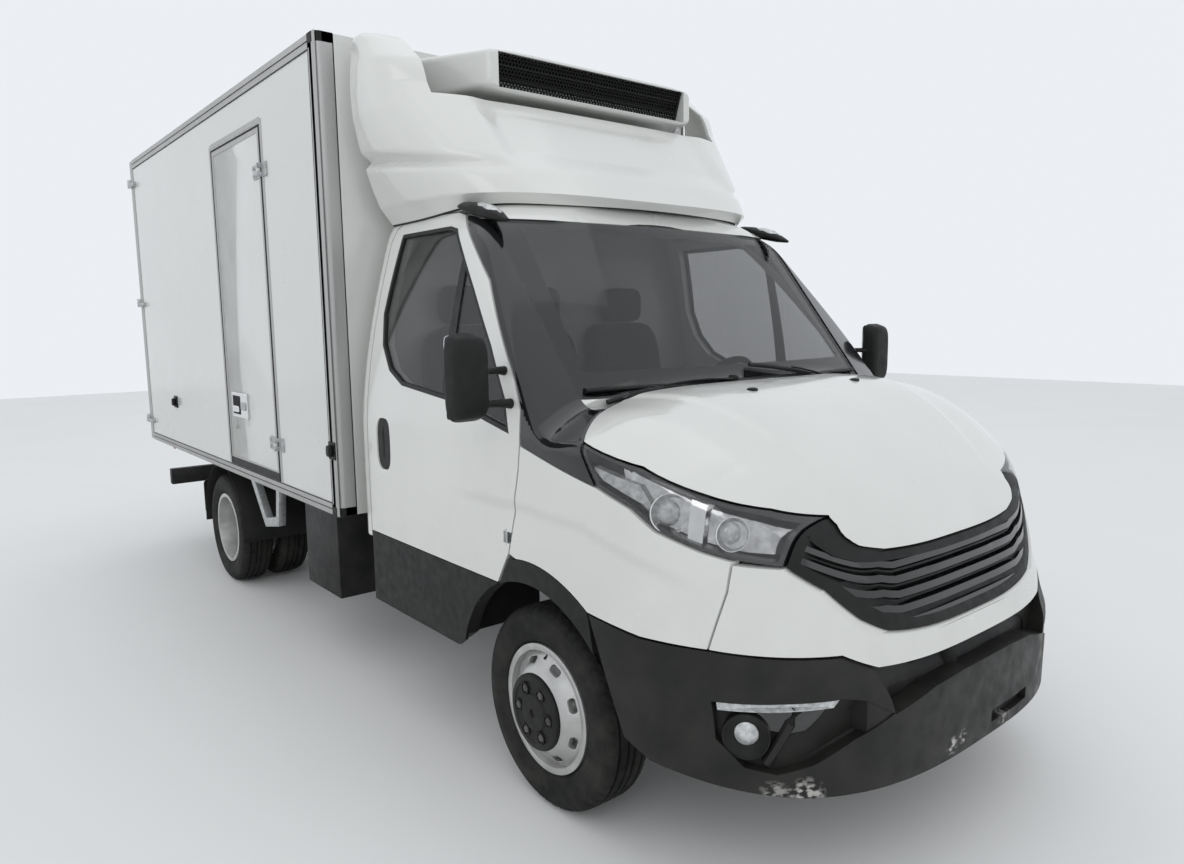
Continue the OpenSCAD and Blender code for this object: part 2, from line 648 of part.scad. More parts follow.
module passenger_seat() color("dimgray") {
    translate([0, -320, 0]) seat(860);
    for (y = [-530, -110]) headrest(y);
}

module roof_deflector() color("white") difference() {
    union() {
        difference() {
            deflector_form(0);
            deflector_form(14);
        }
        foot = deflector_levels[0];
        difference() {
            union() {
                translate([0, 0, 2030]) linear_extrude(124) polygon(deflector_outline(foot, 80));
                translate([0, 0, foot[0]]) linear_extrude(14) polygon(deflector_outline(foot, 2));
            }
            translate([-e, 0, 2000]) linear_extrude(300) polygon(deflector_outline(foot, 94));
        }
    }
    block([-1400, -812, 2552], [-650, 812, 3000]);
    greenhouse_under(-0.5);
}
deflector_levels = [[2140, -440, 880], [2200, -490, 905], [2300, -570, 940], [2400, -660, 965],
    [2500, -750, 985], [2600, -830, 990], [2700, -860, 985], [2800, -1000, 970], [2830, -1080, 960]];
function deflector_outline(v, inset) = let (a = v[1] + cab_back - 30 - inset, w = v[2] - inset)
    [for (t = [-90:9:90]) [-cab_back + 30 + a * pow(abs(cos(t)), 0.55), sign(t) * w * pow(abs(sin(t)), 0.55)]];
module deflector_form(inset)
    for (i = [0:len(deflector_levels) - 2]) hull() for (v = [deflector_levels[i], deflector_levels[i + 1]])
        translate([-sign(inset), 0, v[0] - inset]) linear_extrude(0.1) polygon(deflector_outline(v, inset));

// ---- Load body ----

corner_t = 60;                  // breadth of the aluminium corner columns
rail_t = 4;                     // the aluminium stands proud of the walls
top_z = box_top - 2;

module box_floor() color("silver")
    block([box_rear + wall_t + 5, -box_w / 2 + wall_t, box_z], [box_front - wall_t, box_w / 2 - wall_t, box_z + floor_t]);
module box_roof() color("white")
    block([box_rear + wall_t + 5, -box_w / 2 + wall_t, box_top - wall_t], [box_front - wall_t, box_w / 2 - wall_t, box_top]);
module box_front_wall() color("white")
    block([box_front - wall_t, -box_w / 2 + wall_t, box_z], [box_front, box_w / 2 - wall_t, box_top]);

rail_low_h = 66;                // the lower rails' height
side_pin = [box_rear + side_door_from_rear + side_door_w, -box_w / 2 - 16];
side_pin_r = 6;
side_hinge_z = [box_z + 250, box_z + 1600];
rear_pin = [box_rear - 15, box_w / 2 + 15];
rear_pin_r = 7;
rear_hinge_z = [box_z + 160, box_z + box_h / 2, box_top - 160];
side_door_x = box_rear + side_door_from_rear;
side_door_z = box_z + 55;
module side_door_hole(grow)
    block([side_door_x - grow, -box_w / 2 - e, side_door_z - grow],
          [side_door_x + side_door_w + grow, -box_w / 2 + wall_t + e, side_door_z + side_door_h + grow]);
module box_side_walls() color("white") difference() {
    for (s = [R, L]) translate([0, s * (box_w - wall_t) / 2, 0])
        block([box_rear + wall_t + 5, -wall_t / 2, box_z], [box_front, wall_t / 2, box_top]);
    side_door_hole(0);
}
module box_rails() color("silver") {
    for (s = [R, L]) for (z = [box_z, box_top - 60])
        translate([0, s * (box_w / 2 + rail_t / 2), 0])
            block([box_rear + wall_t + 5, -rail_t / 2, z], [box_front - corner_t, rail_t / 2, z + (z == box_z ? rail_low_h - 16 : 60)]);
    for (s = [R, L]) translate([0, s * (box_w / 2 + rail_t / 2), 0])
        block([box_front - corner_t, -rail_t / 2, box_z], [box_front, rail_t / 2, box_top]);
}

module cooling_unit() color("white") {
    hull() {
        block([box_front, -800, 2560], [box_front + 40, 800, 2790]);
        block([-830, -580, 2590], [-800, 580, 2760]);
    }
}

module side_door() color("white") {
    block([side_door_x + shut_gap, -box_w / 2, side_door_z + shut_gap],
          [side_door_x + side_door_w - shut_gap, -box_w / 2 + wall_t - 8, side_door_z + side_door_h - shut_gap]);
    for (z = side_hinge_z) translate([side_pin[0], side_pin[1], z]) difference() {
        union() {
            cylinder(r = side_pin_r + 5, h = 18, center = true);
            block([-80, 10, -32], [-14, 16, 32]);
            block([-20, 0, -9], [-2, 11, 9]);
        }
        cylinder(r = side_pin_r + pin_gap, h = 40, center = true);
        block([-8, 15.9, -40], [20, 40, 40]);
    }
}

module rear_door(s) color("white") {
    y0 = 4;
    translate([box_rear, 0, 0]) intersection() {
        block([0, -box_w / 2, box_z + 5], [wall_t, box_w / 2, box_top - 5]);
        translate([-500, s > 0 ? y0 : -y0 - 2000, 0]) cube([1000, 2000, 4000]);
    }
    for (y = [0.3, 0.62]) translate([box_rear - lock_rod_out, s * y * box_w / 2, box_z + 60])
        cylinder(r = lock_rod_r, h = box_h - 120);
    translate([box_rear - lock_rod_out - lock_rod_r, 0, 0]) for (y = [0.3, 0.62], z = [100, 900, box_h - 180])
        block([0, s * y * box_w / 2 - 20, box_z + z], [lock_rod_out + lock_rod_r, s * y * box_w / 2 + 20, box_z + z + 60]);
    for (z = rear_hinge_z) translate([rear_pin[0], s * rear_pin[1], z + 1]) difference() {
        union() {
            cylinder(r = rear_pin_r + 4, h = 29);
            translate([0, s > 0 ? -110 : 0, 0]) cube([15, 110, 29]);
        }
        translate([0, 0, -e]) cylinder(r = rear_pin_r + pin_gap, h = 29 + 2 * e);
    }
}

from_axle() chassis_frame();
from_axle() bumper_beam();
from_axle() engine();
from_axle() front_suspension();
from_axle() rear_axle();
from_axle() springs();
from_axle() fuel_tank();
from_axle() exhaust();
from_axle() side_locker();
from_axle() underrun_bar();
from_axle() rear_lamps();
from_axle() rear_mudguards();
from_axle() guard_brackets();
from_axle() hinge_brackets();
from_axle() cab_shell();
from_axle() windscreen();
from_axle() pillar_covers();
from_axle() front_wings();
from_axle() arch_flares();
from_axle() front_panel();
from_axle() front_bumper();
from_axle() grille();
from_axle() front_lamps();
from_axle() dashboard();
from_axle() steering_wheel();
from_axle() driver_seat();
from_axle() passenger_seat();
from_axle() roof_deflector();
from_axle() bonnet();
from_axle() door(L);  // door_left
from_axle() door(R);  // door_right
from_axle() glass(L);  // glass_left
from_axle() glass(R);  // glass_right
from_axle() mirror_unit(L);  // mirror_left
from_axle() mirror_unit(R);  // mirror_right
from_axle() box_floor();
from_axle() box_roof();
from_axle() box_front_wall();
from_axle() box_side_walls();
from_axle() box_rails();
from_axle() cooling_unit();
from_axle() side_door();
from_axle() rear_door(L);  // rear_door_left
from_axle() rear_door(R);  // rear_door_right
from_axle() knuckle(L);  // knuckle_left
from_axle() knuckle(R);  // knuckle_right
from_axle() front_tyre(L);  // front_tyre_left
from_axle() front_tyre(R);  // front_tyre_right
from_axle() front_rim(L);  // front_rim_left
from_axle() front_rim(R);  // front_rim_right
from_axle() rear_tyres(L);  // rear_tyres_left
from_axle() rear_tyres(R);  // rear_tyres_right
from_axle() rear_rims(L);  // rear_rims_left
from_axle() rear_rims(R);  // rear_rims_right
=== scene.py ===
"""Looks for the refrigerated box truck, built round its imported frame.

Places are in millimetres from the front axle, as in the CAD source; put() turns them into the frame's metres.
"""

import math
from functools import partial

import bmesh
import bpy
import numpy as np
from mathutils import Matrix, Vector


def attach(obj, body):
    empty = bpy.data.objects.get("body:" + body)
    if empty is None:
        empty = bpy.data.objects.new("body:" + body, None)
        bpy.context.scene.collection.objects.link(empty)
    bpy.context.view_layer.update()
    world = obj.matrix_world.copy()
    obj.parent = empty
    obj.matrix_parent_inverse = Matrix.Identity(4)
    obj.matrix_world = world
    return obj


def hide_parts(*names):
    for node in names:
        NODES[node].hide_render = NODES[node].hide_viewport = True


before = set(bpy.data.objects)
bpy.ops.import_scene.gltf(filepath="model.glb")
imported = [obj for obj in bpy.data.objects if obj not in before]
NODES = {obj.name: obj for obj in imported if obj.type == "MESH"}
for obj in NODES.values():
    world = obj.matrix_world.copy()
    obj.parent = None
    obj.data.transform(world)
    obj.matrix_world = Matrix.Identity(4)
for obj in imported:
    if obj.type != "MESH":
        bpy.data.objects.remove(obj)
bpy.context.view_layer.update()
AXLE_X = 1951.0  # front axle ahead of the origin
WHEELBASE = 3450.0
HUB_Z = 349.0
BOX_FRONT, BOX_REAR, BOX_HALF = -1340.0, -4920.0, 1080.0
BOX_LOW, BOX_TOP = 800.0, 2860.0
SIDES = ((1, "left"), (-1, "right"))
UP = np.array([0, 0, 1])


def put(points):
    """Millimetres from the front axle to metres in the frame."""
    return (np.asarray(points, float).reshape(-1, 3) + (AXLE_X, 0, 0)) / 1000


# ---- Materials ----


def node(tree, kind, **inputs):
    made = tree.nodes.new("ShaderNode" + kind)
    for key, value in inputs.items():
        made.inputs[key.replace("_", " ")].default_value = value
    return made


def noise_of(tree, scale, detail=3.0, stretch=(1, 1, 1)):
    """Noise over object coordinates; gives its 0 to 1 value."""
    coords = node(tree, "TexCoord")
    shape = node(tree, "Mapping")
    shape.inputs["Scale"].default_value = stretch
    tree.links.new(coords.outputs["Object"], shape.inputs["Vector"])
    made = node(tree, "TexNoise", Scale=scale, Detail=detail)
    tree.links.new(shape.outputs["Vector"], made.inputs["Vector"])
    return made.outputs["Fac"]


def ramp(tree, value, low, high, to_low=0.0, to_high=1.0):
    made = node(tree, "MapRange", From_Min=low, From_Max=high, To_Min=to_low, To_Max=to_high)
    tree.links.new(value, made.inputs["Value"])
    return made.outputs["Result"]


def times(tree, a, b):
    """The product of a value and another value or a number."""
    made = node(tree, "Math")
    made.operation = "MULTIPLY"
    tree.links.new(a, made.inputs[0])
    if isinstance(b, float):
        made.inputs[1].default_value = b
    else:
        tree.links.new(b, made.inputs[1])
    return made.outputs["Value"]


def blend_colours(tree, share, a, b):
    made = tree.nodes.new("ShaderNodeMix")
    made.data_type = "RGBA"
    tree.links.new(share, made.inputs["Factor"])
    for socket, value in ((made.inputs[6], a), (made.inputs[7], b)):
        if isinstance(value, bpy.types.NodeSocket):
            tree.links.new(value, socket)
        else:
            socket.default_value = (*value, 1)
    return made.outputs[2]


def height_share(tree, low, high):
    """1 below low, 0 above high, in metres above the ground."""
    coords = node(tree, "TexCoord")
    parts = node(tree, "SeparateXYZ")
    tree.links.new(coords.outputs["Object"], parts.inputs["Vector"])
    return ramp(tree, parts.outputs["Z"], low, high, 1.0, 0.0)


DUST_COLOUR = (0.23, 0.21, 0.18)
MARK_COLOUR = (0.5, 0.49, 0.46)
COAT_ROUGH = 0.06


def finish(name, colour, rough, metal=0.0, coat=0.0, grain=(300, 0.1), mottle=(6, 0.06), dust=0.0, spread=0.06,
           stretch=(1, 1, 1), sheen=0.0, alpha=1.0, ior=1.45, gloss=0.5, marks=()):
    """A procedural finish: mottled colour, uneven gloss, fine bump, dust low down and scuff marks."""
    made = bpy.data.materials.new(name)
    made.use_nodes = True
    tree = made.node_tree
    shader = tree.nodes["Principled BSDF"]
    for socket, value in (("Metallic", metal), ("Coat Weight", coat), ("Coat Roughness", COAT_ROUGH),
                          ("Sheen Weight", sheen), ("IOR", ior), ("Specular IOR Level", gloss), ("Alpha", alpha)):
        shader.inputs[socket].default_value = value
    cloud = noise_of(tree, mottle[0], 4.0, stretch)
    light = [min(1.0, c * (1 + mottle[1])) for c in colour]
    dark = [c * (1 - mottle[1]) for c in colour]
    shown = blend_colours(tree, ramp(tree, cloud, 0.3, 0.7), dark, light)
    if dust:
        patch = ramp(tree, noise_of(tree, 9.0, 6.0), 0.35, 0.7)
        share = times(tree, patch, height_share(tree, 0.15, 1.25))
        shown = blend_colours(tree, times(tree, share, dust), shown, DUST_COLOUR)
    for centre, size, amount in marks:
        coords = node(tree, "TexCoord")
        gap = node(tree, "VectorMath")
        gap.operation = "DISTANCE"
        tree.links.new(coords.outputs["Object"], gap.inputs[0])
        gap.inputs[1].default_value = tuple(put(centre)[0])
        near = ramp(tree, gap.outputs["Value"], size * 0.25, size, 1.0, 0.0)
        speck = ramp(tree, noise_of(tree, 55.0, 9.0, (0.8, 0.8, 1.3)), 0.46, 0.62)
        share = times(tree, near, speck)
        capped = ramp(tree, share, 0.0, 0.6, 0.0, amount)
        shown = blend_colours(tree, capped, shown, MARK_COLOUR)
    tree.links.new(shown, shader.inputs["Base Color"])
    cloud = noise_of(tree, mottle[0] * 3.1, 5.0, stretch)
    uneven = ramp(tree, cloud, 0.3, 0.7, max(0.02, rough - spread), rough + spread)
    tree.links.new(uneven, shader.inputs["Roughness"])
    if grain[1]:
        bump = node(tree, "Bump", Strength=grain[1], Distance=0.001)
        tree.links.new(noise_of(tree, grain[0], 2.0, stretch), bump.inputs["Height"])
        tree.links.new(bump.outputs["Normal"], shader.inputs["Normal"])
    return made


SCUFFS = [((897, -716, 350), 0.06, 0.8), ((840, -780, 352), 0.05, 0.5), ((1039, -200, 372), 0.035, 0.9),
          ((1037, -140, 385), 0.028, 0.9), ((1030, 130, 350), 0.05, 0.5)]
LOOKS = {
    "white_paint": dict(colour=(0.66, 0.665, 0.635), rough=0.22, coat=0.7, grain=(260, 0.03), mottle=(2.5, 0.025),
        dust=0.12),
    "white_grp": dict(colour=(0.62, 0.625, 0.60), rough=0.22, coat=0.5, grain=(7, 0.35), mottle=(1.5, 0.02),
        dust=0.15),
    "black_plastic": dict(colour=(0.009, 0.009, 0.0086), rough=0.5, grain=(900, 0.35), mottle=(8, 0.25), dust=0.04,
        gloss=0.3, spread=0.1),
    "bumper_plastic": dict(colour=(0.011, 0.0108, 0.010), rough=0.46, grain=(900, 0.35), mottle=(6, 0.35), dust=0.06,
        gloss=0.35, spread=0.12, marks=SCUFFS),
    "black_gloss": dict(colour=(0.010, 0.010, 0.011), rough=0.12, coat=0.6, grain=(500, 0.02), mottle=(5, 0.2)),
    "dark_void": dict(colour=(0.006, 0.006, 0.006), rough=0.8, mottle=(5, 0.2)),
    "chassis_black": dict(colour=(0.010, 0.010, 0.0105), rough=0.5, grain=(160, 0.3), mottle=(7, 0.3), dust=0.1,
        gloss=0.3),
    "cast_steel": dict(colour=(0.09, 0.088, 0.085), rough=0.62, metal=0.4, grain=(220, 0.6), mottle=(9, 0.35),
        dust=0.25),
    "aluminium_trim": dict(colour=(0.42, 0.42, 0.41), rough=0.38, metal=0.6, grain=(500, 0.15), mottle=(5, 0.06),
        stretch=(1, 1, 0.05)),
    "galvanised": dict(colour=(0.46, 0.47, 0.47), rough=0.42, metal=0.8, grain=(150, 0.2), mottle=(38, 0.22)),
    "chrome": dict(colour=(0.82, 0.82, 0.82), rough=0.08, metal=1.0, grain=(40, 0.03), mottle=(30, 0.05)),
    "silver_rim": dict(colour=(0.50, 0.50, 0.49), rough=0.34, metal=0.65, coat=0.3, grain=(300, 0.1),
        mottle=(14, 0.14), dust=0.18),
    "tyre_rubber": dict(colour=(0.011, 0.011, 0.0105), rough=0.72, grain=(420, 0.5), mottle=(18, 0.3), dust=0.09,
        gloss=0.25),
    "seat_fabric": dict(colour=(0.045, 0.047, 0.052), rough=0.85, grain=(1400, 0.8), mottle=(40, 0.3), sheen=0.3,
        stretch=(1, 1, 2)),
    "dash_plastic": dict(colour=(0.03, 0.031, 0.034), rough=0.6, grain=(900, 0.4), mottle=(10, 0.15)),
    "red_lens": dict(colour=(0.35, 0.012, 0.01), rough=0.15, coat=0.5, grain=(160, 0.3), mottle=(20, 0.15)),
    "clear_glass": dict(colour=(0.010, 0.012, 0.012), rough=0.03, grain=(2, 0.01), mottle=(2, 0.1), alpha=0.36,
        ior=1.9, spread=0.01),
    "lamp_lens": dict(colour=(0.06, 0.062, 0.062), rough=0.04, grain=(2, 0.01), mottle=(2, 0.05), alpha=0.14,
        ior=2.6, spread=0.01),
    "fog_lens": dict(colour=(0.55, 0.56, 0.56), rough=0.15, metal=0.4, grain=(260, 0.8), mottle=(60, 0.3)),
    "rubber_seal": dict(colour=(0.016, 0.016, 0.016), rough=0.6, grain=(500, 0.2), mottle=(9, 0.2)),
    "facets": dict(colour=(0.62, 0.62, 0.62), rough=0.12, metal=1.0, grain=(42, 1.0), mottle=(30, 0.25)),
    "mirror_glass": dict(colour=(0.7, 0.72, 0.74), rough=0.03, metal=1.0, grain=(2, 0.01), mottle=(2, 0.03)),
}
FINISHES = {name: finish(name, **look) for name, look in LOOKS.items()}


# ---- Mesh helpers ----


def mesh_of(points, faces):
    made = bpy.data.meshes.new("shape")
    made.from_pydata([tuple(p) for p in put(points)], [], [tuple(f) for f in faces])
    made.update()
    return made


def combine(base, other, how="DIFFERENCE"):
    """A boolean of two closed meshes, as a new mesh."""
    a, b = (bpy.data.objects.new("cut", m) for m in (base, other))
    for made in (a, b):
        bpy.context.scene.collection.objects.link(made)
    tool = a.modifiers.new("cut", "BOOLEAN")
    tool.object, tool.operation, tool.solver = b, how, "MANIFOLD"
    out = bpy.data.meshes.new_from_object(a.evaluated_get(bpy.context.evaluated_depsgraph_get()))
    for made in (a, b):
        bpy.data.objects.remove(made)
    return out


def both(base, other):
    return combine(base, other, "INTERSECT")


def joined(base, other):
    return combine(base, other, "UNION")


def show(name, mesh, look, body="body", replaces=(), bevel=0.0, angle=35, slot=None):
    """Makes a mesh a shown piece that rides on a body."""
    made = bpy.data.objects.new(name, mesh)
    bpy.context.scene.collection.objects.link(made)
    mesh.materials.clear()
    mesh.materials.append(FINISHES[look])
    if bevel:
        soften(made, bevel, angle)
    elif not mesh.has_custom_normals:
        mesh.shade_smooth()
        mesh.set_sharp_from_angle(angle=math.radians(angle))
    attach(made, body)
    if replaces:
        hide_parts(*replaces)
    return made


def soften(made, width, angle=35, weld=False):
    """Rounds a hard-edged piece's corners."""
    if weld:
        made.modifiers.new("weld", "WELD").merge_threshold = 0.00002
    tool = made.modifiers.new("round", "BEVEL")
    tool.width, tool.segments, tool.limit_method = width, 2, "ANGLE"
    tool.angle_limit = math.radians(angle)
    tool.use_clamp_overlap = tool.harden_normals = True
    made.data.shade_smooth()


def squared(value, power):
    """A signed power, which squares a circle's corners."""
    return math.copysign(abs(value) ** power, value)


def turns(steps):
    """Cosine and sine of equal steps round a circle."""
    return [(math.cos(2 * math.pi * i / steps), math.sin(2 * math.pi * i / steps)) for i in range(steps)]


def grid_faces(count, n, loop=False):
    """Faces between rings of n points, and from the last ring back to the first in a loop."""
    return [(i * n + j, i * n + (j + 1) % n, (i + 1) % count * n + (j + 1) % n, (i + 1) % count * n + j)
            for i in range(count if loop else count - 1) for j in range(n)]


def ends_and_sides(n):
    """Faces of a closed body between two ends of n points."""
    return [tuple(range(n)), tuple(range(2 * n - 1, n - 1, -1)),
            *((i, i + n, (i + 1) % n + n, (i + 1) % n) for i in range(n))]


def flank(side, near, far):
    """Two distances from the middle as the low and high ends of a range on one side."""
    return min(side * near, side * far), max(side * near, side * far)


def prism(outline, low, high, axis="y"):
    """An outline extruded from low to high; it is in (x, z) for y, in (y, z) for x and in (x, y) for z."""
    order = {"y": lambda u, v, w: (u, w, v), "x": lambda u, v, w: (w, u, v), "z": lambda u, v, w: (u, v, w)}[axis]
    points = [order(u, v, w) for w in (low, high) for u, v in outline]
    return outward(mesh_of(points, ends_and_sides(len(outline))))


def outward(mesh):
    """Turns a closed mesh's faces to look out."""
    work = bmesh.new()
    work.from_mesh(mesh)
    bmesh.ops.recalc_face_normals(work, faces=work.faces)
    work.to_mesh(mesh)
    work.free()
    return mesh


def offset(outline, by):
    """An outline moved out by a distance, or in by a negative one, with mitred corners."""
    points = np.asarray(outline, float)
    area = np.sum(points[:, 0] * np.roll(points[:, 1], -1) - np.roll(points[:, 0], -1) * points[:, 1])
    turn = 1 if area > 0 else -1
    out = []
    for before, here, after in zip(np.roll(points, 1, 0), points, np.roll(points, -1, 0)):
        a = (here - before) / max(np.linalg.norm(here - before), 1e-9)
        b = (after - here) / max(np.linalg.norm(after - here), 1e-9)
        na, nb = np.array([a[1], -a[0]]) * turn, np.array([b[1], -b[0]]) * turn
        mitre = na + nb
        out.append(here + mitre * by / max(0.35, (1 + na @ nb)))
    return [tuple(p) for p in out]


def block(low, high):
    (x0, y0, z0), (x1, y1, z1) = low, high
    return prism([(x0, z0), (x1, z0), (x1, z1), (x0, z1)], y0, y1)


def disc(centre, radius, low, high, axis="y", steps=96):
    return prism([(centre[0] + radius * c, centre[1] + radius * s) for c, s in turns(steps)], low, high, axis)


def loft(rings, caps=True):
    """Rings of equally many points, one after another, closed at both ends."""
    rings = np.asarray(rings, float)
    count, n = rings.shape[:2]
    faces = grid_faces(count, n)
    if caps:
        faces += [tuple(range(n)), tuple(range((count - 1) * n, count * n))]
    return outward(mesh_of(rings.reshape(-1, 3), faces))


def lathe(profile, centre, steps=72, axis="y", side=1):
    """A closed profile of (radius, out) turned round a line along y or z through centre."""
    rings = [[np.add(centre, (r * c, side * w, r * s) if axis == "y" else (r * c, r * s, side * w)) for r, w in profile]
             for c, s in turns(steps)]
    made = mesh_of(np.reshape(rings, (-1, 3)), grid_faces(steps, len(profile), loop=True))
    made.validate()
    return outward(made)


def tube(path, radius, sides=12, flat=1.0):
    """A round or flattened bar along a path, closed at its ends."""
    path = np.asarray(path, float)
    radii = np.broadcast_to(radius, len(path))
    rings = []
    for i, here in enumerate(path):
        along = path[min(i + 1, len(path) - 1)] - path[max(i - 1, 0)]
        along /= np.linalg.norm(along)
        side = np.cross(along, (0, 0, 1) if abs(along[2]) < 0.9 else (1, 0, 0))
        side /= np.linalg.norm(side)
        up = np.cross(side, along)
        rings.append([here + radii[i] * (c * side + flat * s * up) for c, s in turns(sides)])
    return loft(rings)


def rounded(low, high, power=4.0, steps=(28, 20), bend=None):
    """A soft-cornered block between two corners; bend moves its points."""
    low, high = np.asarray(low, float), np.asarray(high, float)
    rings = []
    for i in range(1, steps[1]):
        rise = math.pi * i / steps[1] - math.pi / 2
        wide, tall = math.cos(rise) ** (2 / power), squared(math.sin(rise), 2 / power)
        rings.append([[squared(c, 2 / power) * wide, squared(s, 2 / power) * wide, tall] for c, s in turns(steps[0])])
    rings = np.asarray(rings) * (high - low) / 2 + (high + low) / 2
    if bend is not None:
        rings = bend(rings.reshape(-1, 3)).reshape(rings.shape)
    return loft(rings)


def points_of(mesh):
    """A mesh's points in metres, one a row."""
    co = np.zeros(len(mesh.vertices) * 3)
    mesh.vertices.foreach_get("co", co)
    return co.reshape(-1, 3)


def merged(meshes):
    """Several meshes as one, side by side."""
    points, faces, start = [], [], 0
    for m in meshes:
        points += points_of(m).tolist()
        faces += [tuple(start + v for v in f.vertices) for f in m.polygons]
        start += len(m.vertices)
    made = bpy.data.meshes.new("set")
    made.from_pydata(points, [], faces)
    made.update()
    return made


# ---- The cab's skin ----

NOSE = ((300, 1045), (600, 1050), (660, 1025), (800, 985), (950, 945), (1100, 900), (1450, 800))
NOSE_Z = np.arange(200.0, 1600.0, 5.0)
ROUGH_NOSE = np.interp(NOSE_Z, *zip(*NOSE))
NOSE_X = np.convolve(np.pad(ROUGH_NOSE, 4, mode="edge"), np.ones(9) / 9, mode="valid")


def step(value, low, high):
    share = np.clip((value - low) / (high - low), 0, 1)
    return share * share * (3 - 2 * share)


def smooth_max(a, b, k):
    h = np.maximum(k - np.abs(a - b), 0) / k
    return np.maximum(a, b) + h * h * k / 4


def nose_x(z):
    return np.interp(z, NOSE_Z, NOSE_X)


def flank_y(z):
    return 1005 - 170 * (np.maximum(0, z - 1200) / 850) ** 1.6


def plan_x(y, z):
    """How far forward the nose is at a place across it."""
    return nose_x(z) * np.cbrt(np.maximum(0, 1 - (np.abs(y) / flank_y(z)) ** 3))


BONNET_START, BONNET_LENGTH = 185, 755
SCREEN_FOOT_Z, SCREEN_SLOPE = 1400, 0.80
BONNET_EDGE = np.array([[150, 1310, 150], [256, 1290, 146], [470, 1235, 150], [627, 1168, 128], [746, 1124, 78],
                        [820, 1083, 46], [883, 999, 40], [927, 972, 20], [960, 955, 12]], float)  # x, z, fall


def screen_foot(y):
    """How far forward the windscreen's lower edge is, at a place across it."""
    return 120 - 110 * (y / 889) ** 2


def roof_top(x, y):
    return 2200 - 90 * (y / 800) ** 3 - 100 * (np.maximum(0, x + 1250) / 850) ** 3


def bonnet_top(x, y):
    """The bonnet's height, falling away to its lamp and grille edges."""
    x = np.asarray(x, float)
    s = np.maximum(0, x - BONNET_START) / BONNET_LENGTH
    edge_z = np.interp(x, BONNET_EDGE[:, 0], BONNET_EDGE[:, 1])
    fall = np.interp(x, BONNET_EDGE[:, 0], BONNET_EDGE[:, 2])
    share = np.clip(x / nose_x(edge_z), 0, 1)
    half = np.maximum(flank_y(edge_z) * np.cbrt(1 - share**3), 180)
    return 1428 - 466 * s**2.2 - fall * np.minimum(1.6, (np.abs(y) / half) ** 4)


def cab_distance(points, relief=1.0):
    """Roughly how far points lie outside the cab's skin."""
    x, y, z = points[:, 0], np.abs(points[:, 1]), points[:, 2]
    a, b = nose_x(z), flank_y(z)
    fx, fy = np.maximum(x, 0) / a, y / b
    q = np.maximum(np.cbrt(fx**3 + fy**3), 1e-6)
    plan = (q - 1) / np.maximum(np.hypot(fx * fx / a, fy * fy / b) / (q * q), 1e-4)
    if relief:
        line = np.interp(x, (-1180, -410, -52, 265, 516, 760), (1050, 1061, 1070, 1057, 978, 905))
        below = line - z
        dent = step(below, 0, 50) * np.exp(-np.maximum(below, 0) / 150)
        plan = plan + relief * 14 * dent * step(x, -560, -250) * (1 - step(x, 480, 760))
    bonnet = (z - bonnet_top(x, y)) / np.hypot(1, 1.358 * (np.maximum(0, x - BONNET_START) / BONNET_LENGTH) ** 1.2)
    if relief:
        crease = 640 - 0.28 * np.maximum(x, 0)
        past = step(y, crease, crease + 55) * (1 - step(x, 620, 900)) * (1 - step(y, crease + 90, crease + 260))
        bonnet = bonnet + relief * 8 * past
    screen = (z - SCREEN_FOOT_Z - (screen_foot(y) - x) / SCREEN_SLOPE) / 1.6008
    roof = z - roof_top(x, y)
    top = -smooth_max(-bonnet, -smooth_max(screen, roof, 80), 45)
    out = smooth_max(plan, top, 20 + 70 * step(z, 1500, 2000))
    out = smooth_max(out, -1250 - x, 40)
    return np.maximum(out, 300 - z)


RELIEF_DEPTH = 15  # forms further in than this are plain
FACING = 0.86  # cosine within which a face belongs to the skin
CENTRE = np.array([-150.0, 0.0, 900.0])
TURNS, RISES = ((480, 240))


def cab_form(inset, relief=1.0):
    """A closed mesh of the cab's skin moved in by inset."""
    turn = np.linspace(-np.pi, np.pi, TURNS, endpoint=False)
    rise = np.linspace(-np.pi / 2, np.pi / 2, RISES + 1)[1:-1]
    r, t = np.meshgrid(rise, turn, indexing="ij")
    rays = np.stack([np.cos(r) * np.cos(t), np.cos(r) * np.sin(t), np.sin(r)], -1).reshape(-1, 3)
    rays = np.vstack([rays, [[0, 0, -1], [0, 0, 1]]])
    low, high = np.zeros(len(rays)), np.full(len(rays), 2600.0)
    for _ in range(21):
        middle = (low + high) / 2
        outside = cab_distance(CENTRE + rays * middle[:, None], relief) > -inset
        low, high = np.where(outside, low, middle), np.where(outside, middle, high)
    points = CENTRE + rays * high[:, None]
    rows = RISES - 1
    faces = grid_faces(rows, TURNS)
    end = rows * TURNS
    faces += [(end, (j + 1) % TURNS, j) for j in range(TURNS)]
    faces += [(end + 1, (rows - 1) * TURNS + j, (rows - 1) * TURNS + (j + 1) % TURNS) for j in range(TURNS)]
    return mesh_of(points, faces)


FORMS = {}


def form(inset):
    if inset not in FORMS:
        FORMS[inset] = cab_form(inset, 1.0 if inset < RELIEF_DEPTH else 0.0)
    return FORMS[inset]


